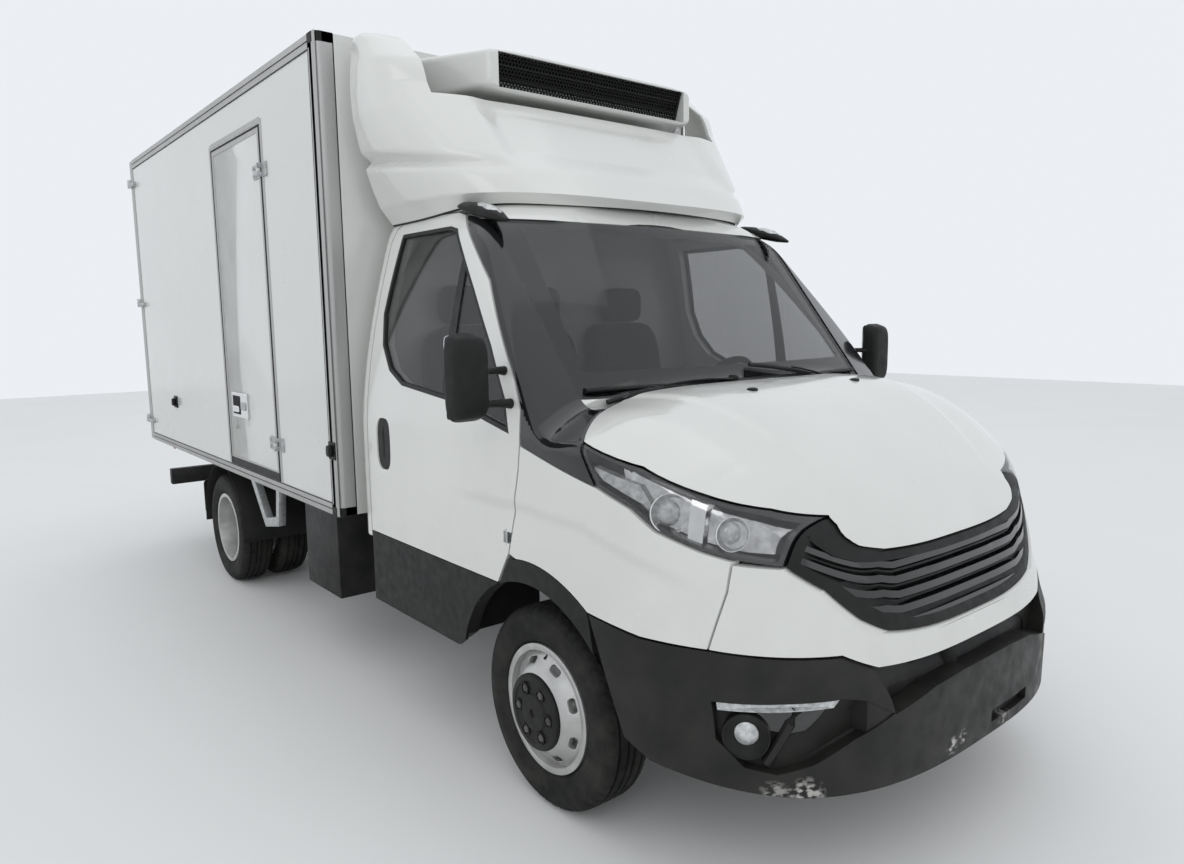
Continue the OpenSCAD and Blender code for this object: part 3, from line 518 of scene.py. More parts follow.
def skin_normals(mesh):
    """Gives a cut piece the true smooth normals of the cab's skin."""
    points = points_of(mesh) * 1000 - (AXLE_X, 0, 0)
    slope = np.stack([cab_distance(points + d) - cab_distance(points - d) for d in np.eye(3) * 1.5], -1)
    slope /= np.maximum(np.linalg.norm(slope, axis=1), 1e-9)[:, None]
    loops = np.zeros(len(mesh.loops), int)
    mesh.loops.foreach_get("vertex_index", loops)
    counts = np.zeros(len(mesh.polygons), int)
    mesh.polygons.foreach_get("loop_total", counts)
    flat = np.zeros(len(mesh.polygons) * 3)
    mesh.polygons.foreach_get("normal", flat)
    flat = np.repeat(flat.reshape(-1, 3), counts, axis=0)
    smooth = slope[loops]
    along = np.sum(flat * smooth, axis=1)
    normals = np.where((along > FACING)[:, None], smooth, np.where((along < -FACING)[:, None], -smooth, flat))
    mesh.shade_smooth()
    mesh.normals_split_custom_set(normals.tolist())
    return mesh


def panel(outline, thick, by=0.0, low=-1100, high=1100):
    """The skin's outer layer within a side outline."""
    made = both(form(0), prism(offset(outline, by) if by else outline, low, high))
    return combine(made, form(thick))


def through(outline, by=0.0):
    """A side outline, moved out by a distance, as a cutter right across the truck."""
    return prism(offset(outline, by) if by else outline, *ACROSS)


def show_skin(name, mesh, *rest):
    """Shows a piece cut from the cab's skin, with the skin's own shading."""
    return show(name, skin_normals(mesh), *rest)


# Outlines from the side, in (x, z)
SEAM_TOP, SEAM_BEND, SEAM_MID, SEAM_FOOT = (-645, 2062), (-172, 1573), (-30, 1255), (-115, 874)
SEAM_LINE = [SEAM_MID, (-36, 1370), (-80, 1455), SEAM_BEND, (-345, 1800), (-455, 1900), SEAM_TOP]
LAMP_TAIL, LAMP_TAIL_LOW = (256, 1290), (333, 1167)
LAMP_TOP_EDGE = [(812, 1090), (746, 1124), (627, 1168), (470, 1235), LAMP_TAIL]
LAMP_LOW_EDGE = [LAMP_TAIL_LOW, (449, 1119), (527, 1062), (644, 1016), (716, 993)]
GRILLE_LOW_EDGE = [(806, 972), (868, 905), (925, 812), (958, 768), (1000, 738), (1100, 735)]
BAND_REAR, WING_LOW = (295, 775), (684, 746)
DOOR = [(-1180, 450), (-460, 450), (-300, 560), SEAM_FOOT, (-40, 1170), *SEAM_LINE, (-720, 2080), (-1110, 2080),
        (-1160, 2050), (-1180, 1990)]
WINDOW = [(-1120, 1690), (-1085, 1560), (-1000, 1460), (-880, 1405), (-500, 1368), (-95, 1285), (-130, 1400),
          (-250, 1573), (-420, 1770), (-640, 2005), (-700, 2020), (-1090, 2020)]
WING = [SEAM_FOOT, (-40, 1170), SEAM_MID, *LAMP_LOW_EDGE, (714, 910), WING_LOW, (492, 748), BAND_REAR]
COVER = [(-560, 2085), (-470, 2040), (64, 1418), (150, 1360), LAMP_TAIL, LAMP_TAIL_LOW, *SEAM_LINE]
LAMP = [*LAMP_TOP_EDGE, *LAMP_LOW_EDGE, (806, 972)]
NOSE_EDGE = [(945, 964), (927, 972), (905, 984), (880, 1006), (856, 1036), (834, 1065)]
BONNET = [(1060, 960), *NOSE_EDGE, *LAMP_TOP_EDGE, (64, 1418), (64, 1500), (1060, 1500)]
GRILLE = [(1100, 960), *NOSE_EDGE, (812, 1090), *GRILLE_LOW_EDGE]
FRONT = [(716, 985), *GRILLE_LOW_EDGE, (1100, 655), (1012, 672), (973, 681), (925, 728), WING_LOW, (714, 910)]
BUMPER = [BAND_REAR, (492, 746), WING_LOW, (925, 726), (973, 679), (1012, 670), (1100, 653), (1100, 330), (900, 340),
          (530, 385), (440, 430)]
FLARE = [(-400, 700), (-400, 1000), (400, 1000), (400, 784), BAND_REAR, (330, 600)]
ARCH = (0, HUB_Z + 15)
ARCH_R, FLARE_R = 430, 505
SCREEN_HOLE = [(300, 1392), (-100, 1392), (-560, 2034), (300, 2034)]
GROOVE_Z = 760  # where a door's paint ends and its cladding starts
SEAM = 3.0  # half of the joints between fixed panels
SHUT = 3.75  # half of the gaps round doors and lids
ACROSS = (-1100, 1100)


def half_space(side):
    return block((-3000, 0 if side > 0 else -1500, 0), (3000, 1500 if side > 0 else 0, 3500))


def cab_panels():
    """The fixed panels of the cab, the bonnet and the windscreen."""
    arch = disc(ARCH, ARCH_R, *ACROSS)
    flare_hole = disc(ARCH, FLARE_R + SEAM, *ACROSS)
    near_door = through(DOOR, SHUT)
    near_bonnet = through(BONNET, SHUT)

    # shell with its door holes, windscreen hole and cavity
    shell = both(form(0), through([(-1251, 735), (-410, 735), (-128, 1145), (60, 1353), (58, 1420), (-510, 2130),
                                   (-510, 2400), (-1251, 2400)]))
    cavity = both(form(28), through([(-1222, 763), (-425, 763), (-150, 1160), (32, 1364), (32, 2400), (-1222, 2400)]))
    shell = combine(shell, cavity)
    shell = combine(shell, combine(near_door, form(62.5)))
    cover = through(COVER, SEAM)
    cover = combine(cover, block((-2000, -800, 0), (2000, 800, 3000)))
    shell = combine(shell, combine(cover, form(28)))
    shell = combine(shell, prism(SCREEN_HOLE, -800, 800))
    for side, _ in SIDES:
        shell = combine(shell, disc((-130, side * 996), 110, 735, 1635, "z"))
    show_skin("cab_shell_skin", shell, "white_paint", "body", ["cab_shell"])
    sills = merged([both(block((-1160, flank(s, 600, 920)[0], 470), (-500, flank(s, 600, 920)[1], 740)),
                         form(30)) for s, _ in SIDES])
    show("sill_boxes", sills, "black_plastic", bevel=0.006)

    wings = combine(combine(combine(panel(WING, 28, -SEAM), flare_hole), near_door), near_bonnet)
    show_skin("wing_skins", wings, "white_paint", "body", ["front_wings"])
    flares = combine(combine(both(panel(FLARE, 28), disc(ARCH, FLARE_R, *ACROSS)), arch), through(DOOR, 7))
    flares = combine(flares, through(BUMPER, SEAM))
    show_skin("flare_skins", flares, "black_plastic", "body", ["arch_flares"])
    show_skin("front_panel_skin", panel(FRONT, 28, -SEAM), "white_paint", "body", ["front_panel"])

    covers = [combine(combine(panel(COVER, 26, -SEAM, **end), near_door), near_bonnet)
              for end in ({"low": 800.3}, {"high": -800.3})]
    show_skin("pillar_cover_skins", merged(covers), "black_gloss", "body", ["pillar_covers"])

    bonnet = both(form(0), through(BONNET, -SHUT))
    bonnet = combine(bonnet, form(22))
    rear_edge = [(BONNET_START - 125 * (y / 889) ** 2, y) for y in range(-1100, 1101, 110)]
    bonnet = combine(bonnet, prism([(-500, -1100), *rear_edge, (-500, 1100)], 1000, 1600, "z"))
    show_skin("bonnet_skin", bonnet, "white_paint", "bonnet", ["bonnet"])

    screen = both(form(4), prism(offset(SCREEN_HOLE, -0.5), -799.7, 799.7))
    screen = combine(screen, form(10))
    show_skin("windscreen_glass", screen, "clear_glass", "body", ["windscreen"])
    band = both(form(10.5), prism([(300, 1394), (-100, 1394), (-560, 2032), (300, 2032)], -798, 798))
    band = combine(band, form(13))
    hole = prism([(-735, 1478), (735, 1478), (690, 1990), (-690, 1990)], -800, 500, "x")
    show_skin("windscreen_band", combine(band, hole), "black_gloss")


def cab_doors():
    """The two doors with their cladding, handles, glass, seals and window bars."""
    arch_shut = disc(ARCH, ARCH_R + SHUT, *ACROSS)
    for side, name in SIDES:
        half = half_space(side)
        body = f"door_{name}"
        skin = combine(both(panel(DOOR, 14, -SHUT), half), arch_shut)
        inner = both(combine(panel(DOOR, 55, -SHUT - 15), arch_shut), half)
        inner = both(inner, block((-2000, -1100, 0), (-118, 1100, 3000)))
        door = joined(skin, inner)
        door = combine(door, through(WINDOW))
        y0, y1 = flank(side, 915, 1003)
        for z in (930, 1130):  # pockets for the hinge eyes
            door = combine(door, block((-146, y0, z - 20), (-90, y1, z + 20)))
        white = combine(door, block((-1300, -1100, 300), (0, 1100, GROOVE_Z + 2)))
        black = both(door, block((-1300, -1100, 300), (0, 1100, GROOVE_Z - 2)))
        handle = [(-1030 + 62 * squared(math.cos(a), 0.6), 1155 + 108 * squared(math.sin(a), 0.6))
                  for a in np.linspace(0, 2 * math.pi, 40, endpoint=False)]
        pocket = combine(both(through(handle), half), form(12))
        white = combine(white, pocket)
        show_skin(f"door_skin_{name}", white, "white_paint", body, [f"door_{name}"])
        show_skin(f"door_cladding_{name}", black, "black_plastic", body)
        dish = both(combine(both(form(6), through(handle, -1)), form(13)), half)
        show_skin(f"door_handle_dish_{name}", dish, "rubber_seal", body)
        outer = flank_y(1155) - 3
        y0, y1 = flank(side, outer, outer - 18)
        grip = rounded((-1060, y0, 1075), (-1030, y1, 1238), 3)
        show(f"door_handle_{name}", grip, "black_plastic", body)
        seal = both(combine(both(form(1.5), through(WINDOW, 13)), form(16)), half)
        seal = combine(seal, through(WINDOW, -15))
        seal = both(seal, through(DOOR, -SHUT - 1))
        glass = both(combine(both(form(11), through(WINDOW, -2)), form(15)), half)
        show_skin(f"window_glass_{name}", glass, "clear_glass", body, [f"glass_{name}"])
        show_skin(f"window_seal_{name}", seal, "rubber_seal", body)
        bar = both(combine(both(form(6), through([(-560, 1330), (-500, 1330), (-520, 1900), (-556, 1950)])),
                           form(18)), half)
        bar = both(bar, through(WINDOW, -2))
        show_skin(f"window_divider_{name}", bar, "rubber_seal", body)


cab_panels()
cab_doors()


# ---- Bumper, grille and lamps ----


def on_nose(y, z, inset=0.0):
    """A point on the nose, and the level direction out of it."""
    x = plan_x(y, z)
    a, b = nose_x(z), flank_y(z)
    n = np.array([(max(x, 1) / a) ** 2 / a, np.sign(y) * (abs(y) / b) ** 2 / b, 0])
    n /= np.linalg.norm(n)
    return np.array([x, y, z]) - n * inset, n


def nose_cutter(outline, above, below):
    """A closed cutter through the nose's skin: an outline in (y, z) run along the skin's own direction out."""
    top, base = [], []
    for y, z in outline:
        point, n = on_nose(y, z)
        top.append(point + n * above)
        base.append(point - n * below)
    return outward(mesh_of([*top, *base], ends_and_sides(len(outline))))


def ring_at(point, out, u, v, radius, rise, steps=48):
    """A circle of points round a place, raised along the direction out."""
    return [point + out * rise + radius * (math.cos(t) * u + math.sin(t) * v)
            for t in np.linspace(0, 2 * math.pi, steps, endpoint=False)]


def side_of(outline, side):
    return [(side * -y, z) for y, z in outline]


RECESS = [(-890, 608), (-760, 616), (-625, 620), (-560, 606), (-470, 552), (-520, 530), (-600, 500), (-700, 440),
          (-780, 412), (-840, 428), (-884, 500)]


def dense(outline, gap=30):
    out = []
    for a, b in zip(outline, outline[1:] + outline[:1]):
        count = max(1, int(math.dist(a, b) / gap))
        out += [tuple(np.add(a, np.subtract(b, a) * i / count)) for i in range(count)]
    return out


def bumper():
    body = combine(both(form(0), through(BUMPER, -SEAM)), form(60))
    body = combine(body, disc(ARCH, ARCH_R, *ACROSS))
    shelf = [(-468, 548), (-300, 592), (-150, 602), (150, 602), (300, 592), (468, 548), (520, 700), (-520, 700)]
    body = combine(body, prism(shelf, 960, 1100, "x"))
    body = combine(body, nose_cutter(dense([(40, 372), (300, 372), (300, 412), (40, 412)]), 30, 22))
    for side, name in SIDES:
        cut = dense(side_of(RECESS, side))
        if side > 0:
            cut = cut[::-1]
        body = combine(body, nose_cutter(cut, 40, 34))
        # rib between the fog lamp's pocket and the plain recess
        path = [on_nose(side * y, z, 28)[0] for y, z in ((738, 588), (752, 550), (776, 490), (800, 432))]
        show(f"bumper_rib_{name}", tube(path, 15, 10), "bumper_plastic")
        # daytime lamp
        strip = dense([(-885, 603), (-760, 611), (-632, 614), (-652, 594), (-760, 588), (-884, 580)], 25)
        strip = side_of(strip, side)
        show(f"day_lamp_{name}", nose_cutter(strip[::-1] if side > 0 else strip, -12, 30), "fog_lens", bevel=0.002)
        # fog lamp in its cone
        point, n = on_nose(side * 838, 512)
        turn = math.atan2(n[1], n[0])
        ring = partial(ring_at, point, n, np.array([-math.sin(turn), math.cos(turn), 0]), UP)
        rings = [ring(r, w) for r, w in ((62, -10), (60, -14), (34, -32), (34, -36), (66, -36), (66, -10), (62, -10))]
        show(f"fog_cone_{name}", loft(rings, caps=False), "black_plastic")
        lens = [ring(r, w, 40) for r, w in ((34, -34), (33, -31), (24, -26), (12, -23.5), (0.5, -23))]
        show(f"fog_lens_{name}", loft(lens), "fog_lens")
    show_skin("bumper_skin", body, "bumper_plastic", "body", ["front_bumper"])
    # step behind the bumper's top edge, dark void above it and the towing pin's tube
    steps = both(form(4), prism([(-560, 480), (560, 480), (560, 655), (500, 655), (468, 544), (300, 588), (150, 598),
                                 (-150, 598), (-300, 588), (-468, 544), (-500, 655), (-560, 655)], 890, 1060, "x"))
    show("bumper_step", steps, "bumper_plastic", angle=30)
    tow_tube = lathe([(28, 0), (40, 0), (40, 92), (36, 96), (28, 96)], (962, -120, 560), 48, "z")
    show("tow_tube", tow_tube, "black_plastic")


def ribbon(zc, half, x0=560, x1=1100, span=900):
    """A band across the nose whose height follows zc(y)."""
    ys = np.linspace(-span, span, 61)
    return prism([(y, zc(y) - half) for y in ys] + [(y, zc(y) + half) for y in ys[::-1]], x0, x1, "x")


def grille():
    hole = through(GRILLE, -20)
    whole = through(GRILLE, -SEAM - 1)
    frame_ring = combine(combine(both(form(4), whole), form(40)), both(hole, form(-20)))
    back = combine(both(form(34), whole), form(40))
    show_skin("grille_frame", frame_ring, "black_plastic", "body", ["grille"])
    show_skin("grille_back", back, "dark_void")

    def lift(base, kink):
        return lambda y: base + 125 * step(np.abs(y), 430, 900) * 1.25 + kink * step(np.abs(y), 360, 430)

    bars = [both(combine(form(8), form(34)), both(ribbon(lift(z, kink), half), hole))
            for z, kink, half in ((938, 14, 9), (897, 14, 10), (856, 14, 10), (815, 12, 10), (778, 8, 8))]
    show_skin("grille_bars", merged(bars), "black_gloss")
    fins = [both(combine(form(18), form(34)), both(ribbon(lift(z, 14), 3), hole)) for z in (918, 877, 836, 796)]
    show_skin("grille_fins", merged(fins), "black_plastic")


def lamps():
    whole = through(LAMP, -SEAM - 1)
    inside = through(LAMP, -13)
    lens = combine(both(form(2), whole), form(6))
    bezel = combine(combine(both(form(6.5), whole), form(60)), both(inside, form(-10)))
    back = combine(both(form(52), whole), form(60))
    show_skin("lamp_covers", lens, "lamp_lens", "body", ["front_lamps"])
    show_skin("lamp_bezels", bezel, "black_gloss")
    show_skin("lamp_backs", back, "black_plastic")
    tray = both(combine(form(34), form(38)), through([(795, 1070), (740, 1108), (627, 1148), (480, 1212), (400, 1228),
                                                    (420, 1150), (520, 1082), (640, 1034), (720, 1010), (780, 1000)]))
    show("lamp_trays", tray, "facets", angle=50)
    for side, name in SIDES:
        for part, x, z, r, deep in (("main", 565, 1112, 58, 44), ("projector", 712, 1062, 50, 40)):
            a, b = nose_x(z), flank_y(z)
            y = side * b * (1 - (x / a) ** 3) ** (1 / 3)
            point, n = on_nose(y, z, 14)
            n = n * 0.75 + np.array([0.5, 0, 0.05])
            n /= np.linalg.norm(n)
            u = np.cross((0, 0, 1), n)
            u /= np.linalg.norm(u)
            v = np.cross(n, u)
            ring = partial(ring_at, point, n, u, v)
            bowl = [ring(radius, rise) for radius, rise in (
                (r, -4), (r - 3, -4), (r * 0.8, -18), (r * 0.5, -32), (4, -deep), (4, -deep - 3), (r * 0.62, -32),
                (r * 0.9, -18), (r, -4))]
            show(f"lamp_bowl_{part}_{name}", loft(bowl, caps=False), "chrome")
            ball = [ring(r * k, w) for k, w in ((0.66, -26), (0.64, -18), (0.52, -10), (0.32, -5), (0.02, -3))]
            show(f"lamp_bulb_{part}_{name}", loft(ball), "fog_lens")
        for part, look, deep, round_by, strip in (
                ("turn", "fog_lens", 16, 0.003, [(300, 1228), (470, 1186), (515, 1120), (455, 1140), (345, 1186)]),
                ("divider", "chrome", 18, 0.002, [(600, 1160), (640, 1145), (640, 1030), (600, 1045)])):
            piece = combine(both(form(deep), through(strip, -2)), form(44))
            show(f"lamp_{part}_{name}", both(piece, half_space(side)), look, bevel=round_by)


bumper()
grille()
lamps()


# ---- Wheels ----


FRONT_WHEEL_Y, REAR_PAIR_Y, TWIN_HALF = 862, 775, 118
NUT_CIRCLE, REAR_NUT_CIRCLE = 85, 105


def tyre_mesh(centre, side):
    """A tyre with four grooves, shoulder sipes and a ribbed sidewall."""
    wall = [(209.5, -75), (224, -75), (234, -86), (240, -88), (256, -94), (262, -94), (266, -96), (290, -97.5),
            (309, -95.5), (318, -93), (321, -93.5), (329, -88.5)]
    tread = [(338, -82, 1), (342, -77, 1), (346, -70, 1), (348, -61, 1), (348.4, -56, 0), (340, -54.5, 0),
             (340, -46.5, 0), (348.6, -45, 0), (349, -24, 2), (349, -20, 0), (340, -18.5, 0), (340, -9.5, 0),
             (349, -8, 0)]
    half = [(r, w, 0) for r, w in wall] + tread
    profile = half + [(r, -w, k) for r, w, k in half[::-1]]
    steps = 216
    rings = []
    for i, (c, s) in enumerate(turns(steps)):
        depths = {0: 0, 1: 6 if i % 4 == 0 else 0, 2: 4 if i % 6 == 3 else 0}
        rings.append([(centre[0] + (r - depths[kind]) * c, centre[1] + side * w, centre[2] + (r - depths[kind]) * s)
                      for r, w, kind in profile])
    return outward(mesh_of(np.reshape(rings, (-1, 3)), grid_faces(steps, len(profile), loop=True)))


def bolt_circle(x, y, radius):
    """Six places on a circle round a wheel's middle."""
    return [(x + radius * math.cos(math.radians(a)), y, HUB_Z + radius * math.sin(math.radians(a)))
            for a in range(0, 360, 60)]


def nut(centre, side, radius, deep):
    corners = [(radius * math.cos(math.pi * k / 3), radius * math.sin(math.pi * k / 3)) for k in range(6)]
    rings = [[(centre[0] + k * u, centre[1] + side * w, centre[2] + k * v) for u, v in corners]
             for k, w in ((1, 0), (1, deep * 0.8), (0.8, deep))]
    return loft(rings)


def wheels():
    for side, name in SIDES:
        y = side * FRONT_WHEEL_Y
        body = f"front_wheel_{name}"
        tyre = tyre_mesh((0, y, HUB_Z), side)
        show(f"front_tyre_skin_{name}", tyre, "tyre_rubber", body, [f"front_tyre_{name}"], angle=28)
        cover = [(60, 112), (130.5, 112), (130.5, 126), (127, 132), (116, 135), (108, 136), (104, 132.5), (66, 132.5),
                 (62, 137), (40, 139), (14, 139), (12, 133), (0.5, 133), (0.5, 112)]
        show(f"hub_cover_{name}", lathe(cover, (0, y, HUB_Z), 72, "y", side), "black_plastic", body,
             angle=30)
        cups = [lathe([(17, 131), (21, 131), (21, 138), (17, 138)], p, 24, "y", side)
                for p in bolt_circle(0, y, NUT_CIRCLE)]
        show(f"nut_cups_{name}", merged(cups), "black_plastic", body)
        nuts = [nut(p, side, 14, 6) for p in bolt_circle(0, y + side * 131, NUT_CIRCLE)]
        show(f"wheel_nuts_{name}", merged(nuts), "cast_steel", body)
        show(f"valve_{name}", tube([(0, y + side * 52, HUB_Z + 196), (0, y + side * 66, HUB_Z + 186),
                                    (0, y + side * 84, HUB_Z + 176)], 4, 8), "black_plastic", body)
        body = f"rear_wheels_{name}"
        middle = side * REAR_PAIR_Y
        tyres = [tyre_mesh((-WHEELBASE, middle + k * TWIN_HALF, HUB_Z), side) for k in (-1, 1)]
        show(f"rear_tyre_skins_{name}", merged(tyres), "tyre_rubber", body, [f"rear_tyres_{name}"], angle=28)
        nuts = [nut(p, side, 13, 18) for p in bolt_circle(-WHEELBASE, middle + side * 10, REAR_NUT_CIRCLE)]
        show(f"rear_nuts_{name}", merged(nuts), "cast_steel", body)
        show(f"rear_hub_cap_{name}", lathe([(0.5, 99), (60, 99), (60, 107), (52, 112), (0.5, 113)],
                                           (-WHEELBASE, middle, HUB_Z), 48, "y", side), "cast_steel", body)


wheels()


# ---- Deflector and cooling unit ----

LEVELS = np.array([[2140, -440, 880], [2200, -490, 905], [2300, -570, 940], [2400, -660, 965], [2500, -750, 985],
                   [2600, -830, 990], [2700, -860, 985], [2800, -1000, 970], [2830, -1080, 960]], float)


SKIRT_TOP = 2141  # below this the deflector tapers in to the roof


def deflector_ring(z, inset, dent=True):
    """A level line round the deflector, with its dents."""
    x_front = np.interp(z, LEVELS[:, 0], LEVELS[:, 1])
    inset = inset + 0.8 * max(0, SKIRT_TOP - z)
    half = np.interp(z, LEVELS[:, 0], LEVELS[:, 2]) - inset
    deep = x_front + 1220 - inset
    ring = []
    for t in np.linspace(-math.pi / 2, math.pi / 2, 121):
        c, s = abs(math.cos(t)), abs(math.sin(t))
        x, y = -1220 + deep * c**0.55, half * s**0.55
        out = np.array([c ** 1.45 / deep, s ** 1.45 / half])
        out /= np.linalg.norm(out)
        if dent:
            rear = step(-x, 560, 900)
            valley = 2560 - 0.42 * (x + 568)
            scoop = math.exp(-(((z - valley + 0.2 * (x + 700)) / 70) ** 2))
            scoop = 42 * scoop * step(y, 640, 860) * step(x, -1200, -1060)
            channel = 34 * math.exp(-(((z - (2262 + 0.12 * (-x - 700))) / 20) ** 2)) * step(y, 560, 760)
            face = 30 * step(z, 2230, 2330) * (1 - step(y, 560, 680)) * step(x, -1100, -900)
            push = (scoop + channel * (0.35 + 0.65 * rear) + face)
            x, y = x - out[0] * push, y - out[1] * push
        ring.append((x, math.copysign(y, t), z))
    return ring


def deflector():
    heights = np.concatenate([np.linspace(2030, 2815, 100), [2822, 2827, 2829.5]])
    outer = loft([deflector_ring(z, 0 if z < 2816 else (z - 2815) ** 1.35 / 3.0) for z in heights])
    inner = loft([deflector_ring(z, 16) for z in np.linspace(2000, 2806, 80)])
    made = combine(combine(outer, inner), block((-1400, -812, 2552), (-650, 812, 3000)))
    made = combine(made, both(form(-9), block((-1300, -1100, 1900), (200, 1100, 2400))))
    show("deflector_skin", made, "white_paint", replaces=["roof_deflector"], angle=40)
    ring = combine(loft([deflector_ring(z, -2, dent=False) for z in (2030, 2160)]),
                   loft([deflector_ring(z, 14, dent=False) for z in (2000, 2200)]))
    strip = combine(both(form(-10), ring), form(-0.5))
    show("deflector_strip", strip, "rubber_seal", angle=40)
    for side, name in SIDES:
        y = side * 800
        path = [(x, y, roof_top(x, 800) + 14) for x in (-690, -640, -580, -500, -430, -370)]
        show(f"roof_lamp_base_{name}", tube(path, [14, 34, 40, 40, 32, 10], 20, 0.62), "black_plastic")
        path = [(x, y, roof_top(x, 800) + 24) for x in (-560, -520, -460, -410)]
        show(f"roof_lamp_lens_{name}", tube(path, [20, 30, 28, 10], 20, 0.7), "fog_lens")


def unit_ring(x, shrink=0.0, power=9):
    share = (x + 1340) / 540
    low, high = 2560 + 30 * share + shrink, 2790 - 30 * share - shrink
    half = 800 - 220 * share - shrink
    ring = []
    for t in np.linspace(0, 2 * math.pi, 96, endpoint=False):
        c, s = math.cos(t), math.sin(t)
        ring.append((x, half * squared(c, 2 / power),
                     (low + high) / 2 + (high - low) / 2 * squared(s, 2 / power)))
    return ring


def cooling_unit():
    stations = [(-1340, 0), (-1180, 0), (-1000, 0), (-860, 0), (-822, 0), (-808, 4), (-801, 12)]
    shell = loft([unit_ring(x, s) for x, s in stations])
    mouth = prism([(-700, 2764), (-801, 2744), (-846, 2744), (-872, 2606), (-800, 2604), (-700, 2604)], -534, 534)
    shell = combine(shell, mouth)
    show("unit_shell", shell, "white_grp", replaces=["cooling_unit"], angle=32)
    # slanted mesh of hexagons
    top, base = np.array([-812.0, 0, 2746.0]), np.array([-862.0, 0, 2604.0])
    down = (base - top) / np.linalg.norm(base - top)
    out = np.cross((0, 1, 0), down)
    out /= np.linalg.norm(out)
    out = out if out[0] > 0 else -out
    length, half, pitch = np.linalg.norm(base - top), 528, 17.0
    corners = [top + (0, -half, 0), top + (0, half, 0), base + (0, half, 0), base + (0, -half, 0)]
    plate = mesh_of([corner - out * deep for deep in (16, 22) for corner in corners], ends_and_sides(4))
    show("unit_grille_back", outward(plate), "dark_void")
    points, faces = [], []
    row, v = 0, pitch * 0.55
    while v < length - pitch * 0.4:
        u = -half + pitch * (0.6 if row % 2 else 1.1)
        while u < half - pitch * 0.5:
            start = len(points)
            for radius, depth in ((0.60, -3), (0.60, -12), (0.47, -12), (0.47, -3)):
                for k in range(6):
                    t = math.pi * (k / 3 + 1 / 6)
                    across = np.array([0, u + pitch * radius * math.cos(t), 0])
                    points.append(top + down * (v + pitch * radius * math.sin(t)) + across + out * depth)
            for a, b in ((0, 1), (1, 2), (2, 3), (3, 0)):
                here, there = start + a * 6, start + b * 6
                faces += [(here + k, here + (k + 1) % 6, there + (k + 1) % 6, there + k) for k in range(6)]
            u += pitch
        v += pitch * 0.866
        row += 1
    show("unit_grille_mesh", outward(mesh_of(points, faces)), "black_plastic", angle=20)
    bars = [tube([a + out * -4, b + out * -4], 6, 10) for a, b in zip(corners, corners[1:] + corners[:1])]
    bars += [tube([a + down * length * k - out * 5 for a in corners[:2]], 3.5, 8) for k in (0.33, 0.66)]
    show("unit_grille_rim", merged(bars), "black_plastic")


deflector()
cooling_unit()


# ---- Load body ----


def box_body():
    walls = []
    for side, _ in SIDES:
        y0, y1 = flank(side, 1010, BOX_HALF)
        wall = block((BOX_REAR + 75, y0, BOX_LOW), (BOX_FRONT - 32, y1, BOX_TOP))
        if side < 0:  # the side door's hole
            wall = combine(wall, block((-2895, -1081, 855), (-2080, -1005, 2620)))
        walls.append(wall)
    show("box_wall_skins", merged(walls), "white_grp", replaces=["box_side_walls"], angle=30)
    for side, name in SIDES:
        curve = [(-1374 + 34 * math.cos(t), side * (1050 + 34 * math.sin(t))) for t in np.linspace(0, math.pi / 2, 12)]
        outline = [(-1410, side * 1081), (-1410, side * 1084), *curve[::-1], (-1340, side * 1000), (-1350, side * 1000),
                   (-1372, side * 1040), (-1372, side * 1079)]
        show(f"corner_column_{name}", prism(outline, BOX_LOW + 2, BOX_TOP - 2, "z"), "aluminium_trim", angle=40)
        for level, z0, z1 in (("foot", BOX_LOW - 6, BOX_LOW + 38), ("head", BOX_TOP - 42, BOX_TOP - 0.1)):
            cap = [(-1414, side * 1081), (-1414, side * 1085.5)]
            cap += [(-1375 + 35 * math.cos(t), side * (1050 + 36 * math.sin(t)))
                    for t in np.linspace(math.pi / 2, 0, 12)]
            cap += [(-1340, side * 1002), (-1345, side * 1002)]
            show(f"corner_cap_{level}_{name}", prism(cap, z0, z1, "z"), "black_plastic", angle=40)
        lines = [tube([(-1413, side * 1082.5, BOX_LOW + 8), (-1413, side * 1082.5, BOX_TOP - 8)], 2.6, 8)]
        lines += [tube([(-4842, side * out, z), (-1415, side * out, z)], thick, 8)
                  for out, z, thick in ((1083, BOX_LOW + 52, 2.2), (1083, BOX_TOP - 62, 2.2),
                                        (1084.6, BOX_LOW + 26, 2.0), (1084.6, BOX_TOP - 30, 2.0))]
        show(f"rail_joints_{name}", merged(lines), "rubber_seal")
        post = [(BOX_REAR, side * 1078), (BOX_REAR, side * 1084), (-4846, side * 1084), (-4846, side * 1078)]
        show(f"rear_post_{name}", prism(post, BOX_LOW + 4, BOX_TOP - 4, "z"), "aluminium_trim", f"rear_door_{name}",
             bevel=0.002)
        gusset = prism([(-4250, 800), (-4845, 800), (-4845, 762), (-4400, 762)], side * 1000 - 14, side * 1000 + 14)
        show(f"rear_gusset_{name}", gusset, "black_plastic", bevel=0.003)
        lamp = lathe([(0.5, 0), (24, 0), (24, 8), (18, 13), (0.5, 14)], (-4520, side * 1014, 778), 32, "y", side)
        show(f"marker_lamp_{name}", lamp, "red_lens")
        flap = rounded((-3925, side * REAR_PAIR_Y - 215, 360), (-3913, side * REAR_PAIR_Y + 215, 600), 12)
        show(f"mud_flap_{name}", flap, "black_plastic")


def on_wall(x0, x1, z0, z1, out, back=1):
    """A plate that stands out from the side door's wall."""
    return block((x0, -BOX_HALF - out, z0), (x1, -BOX_HALF + back, z1))


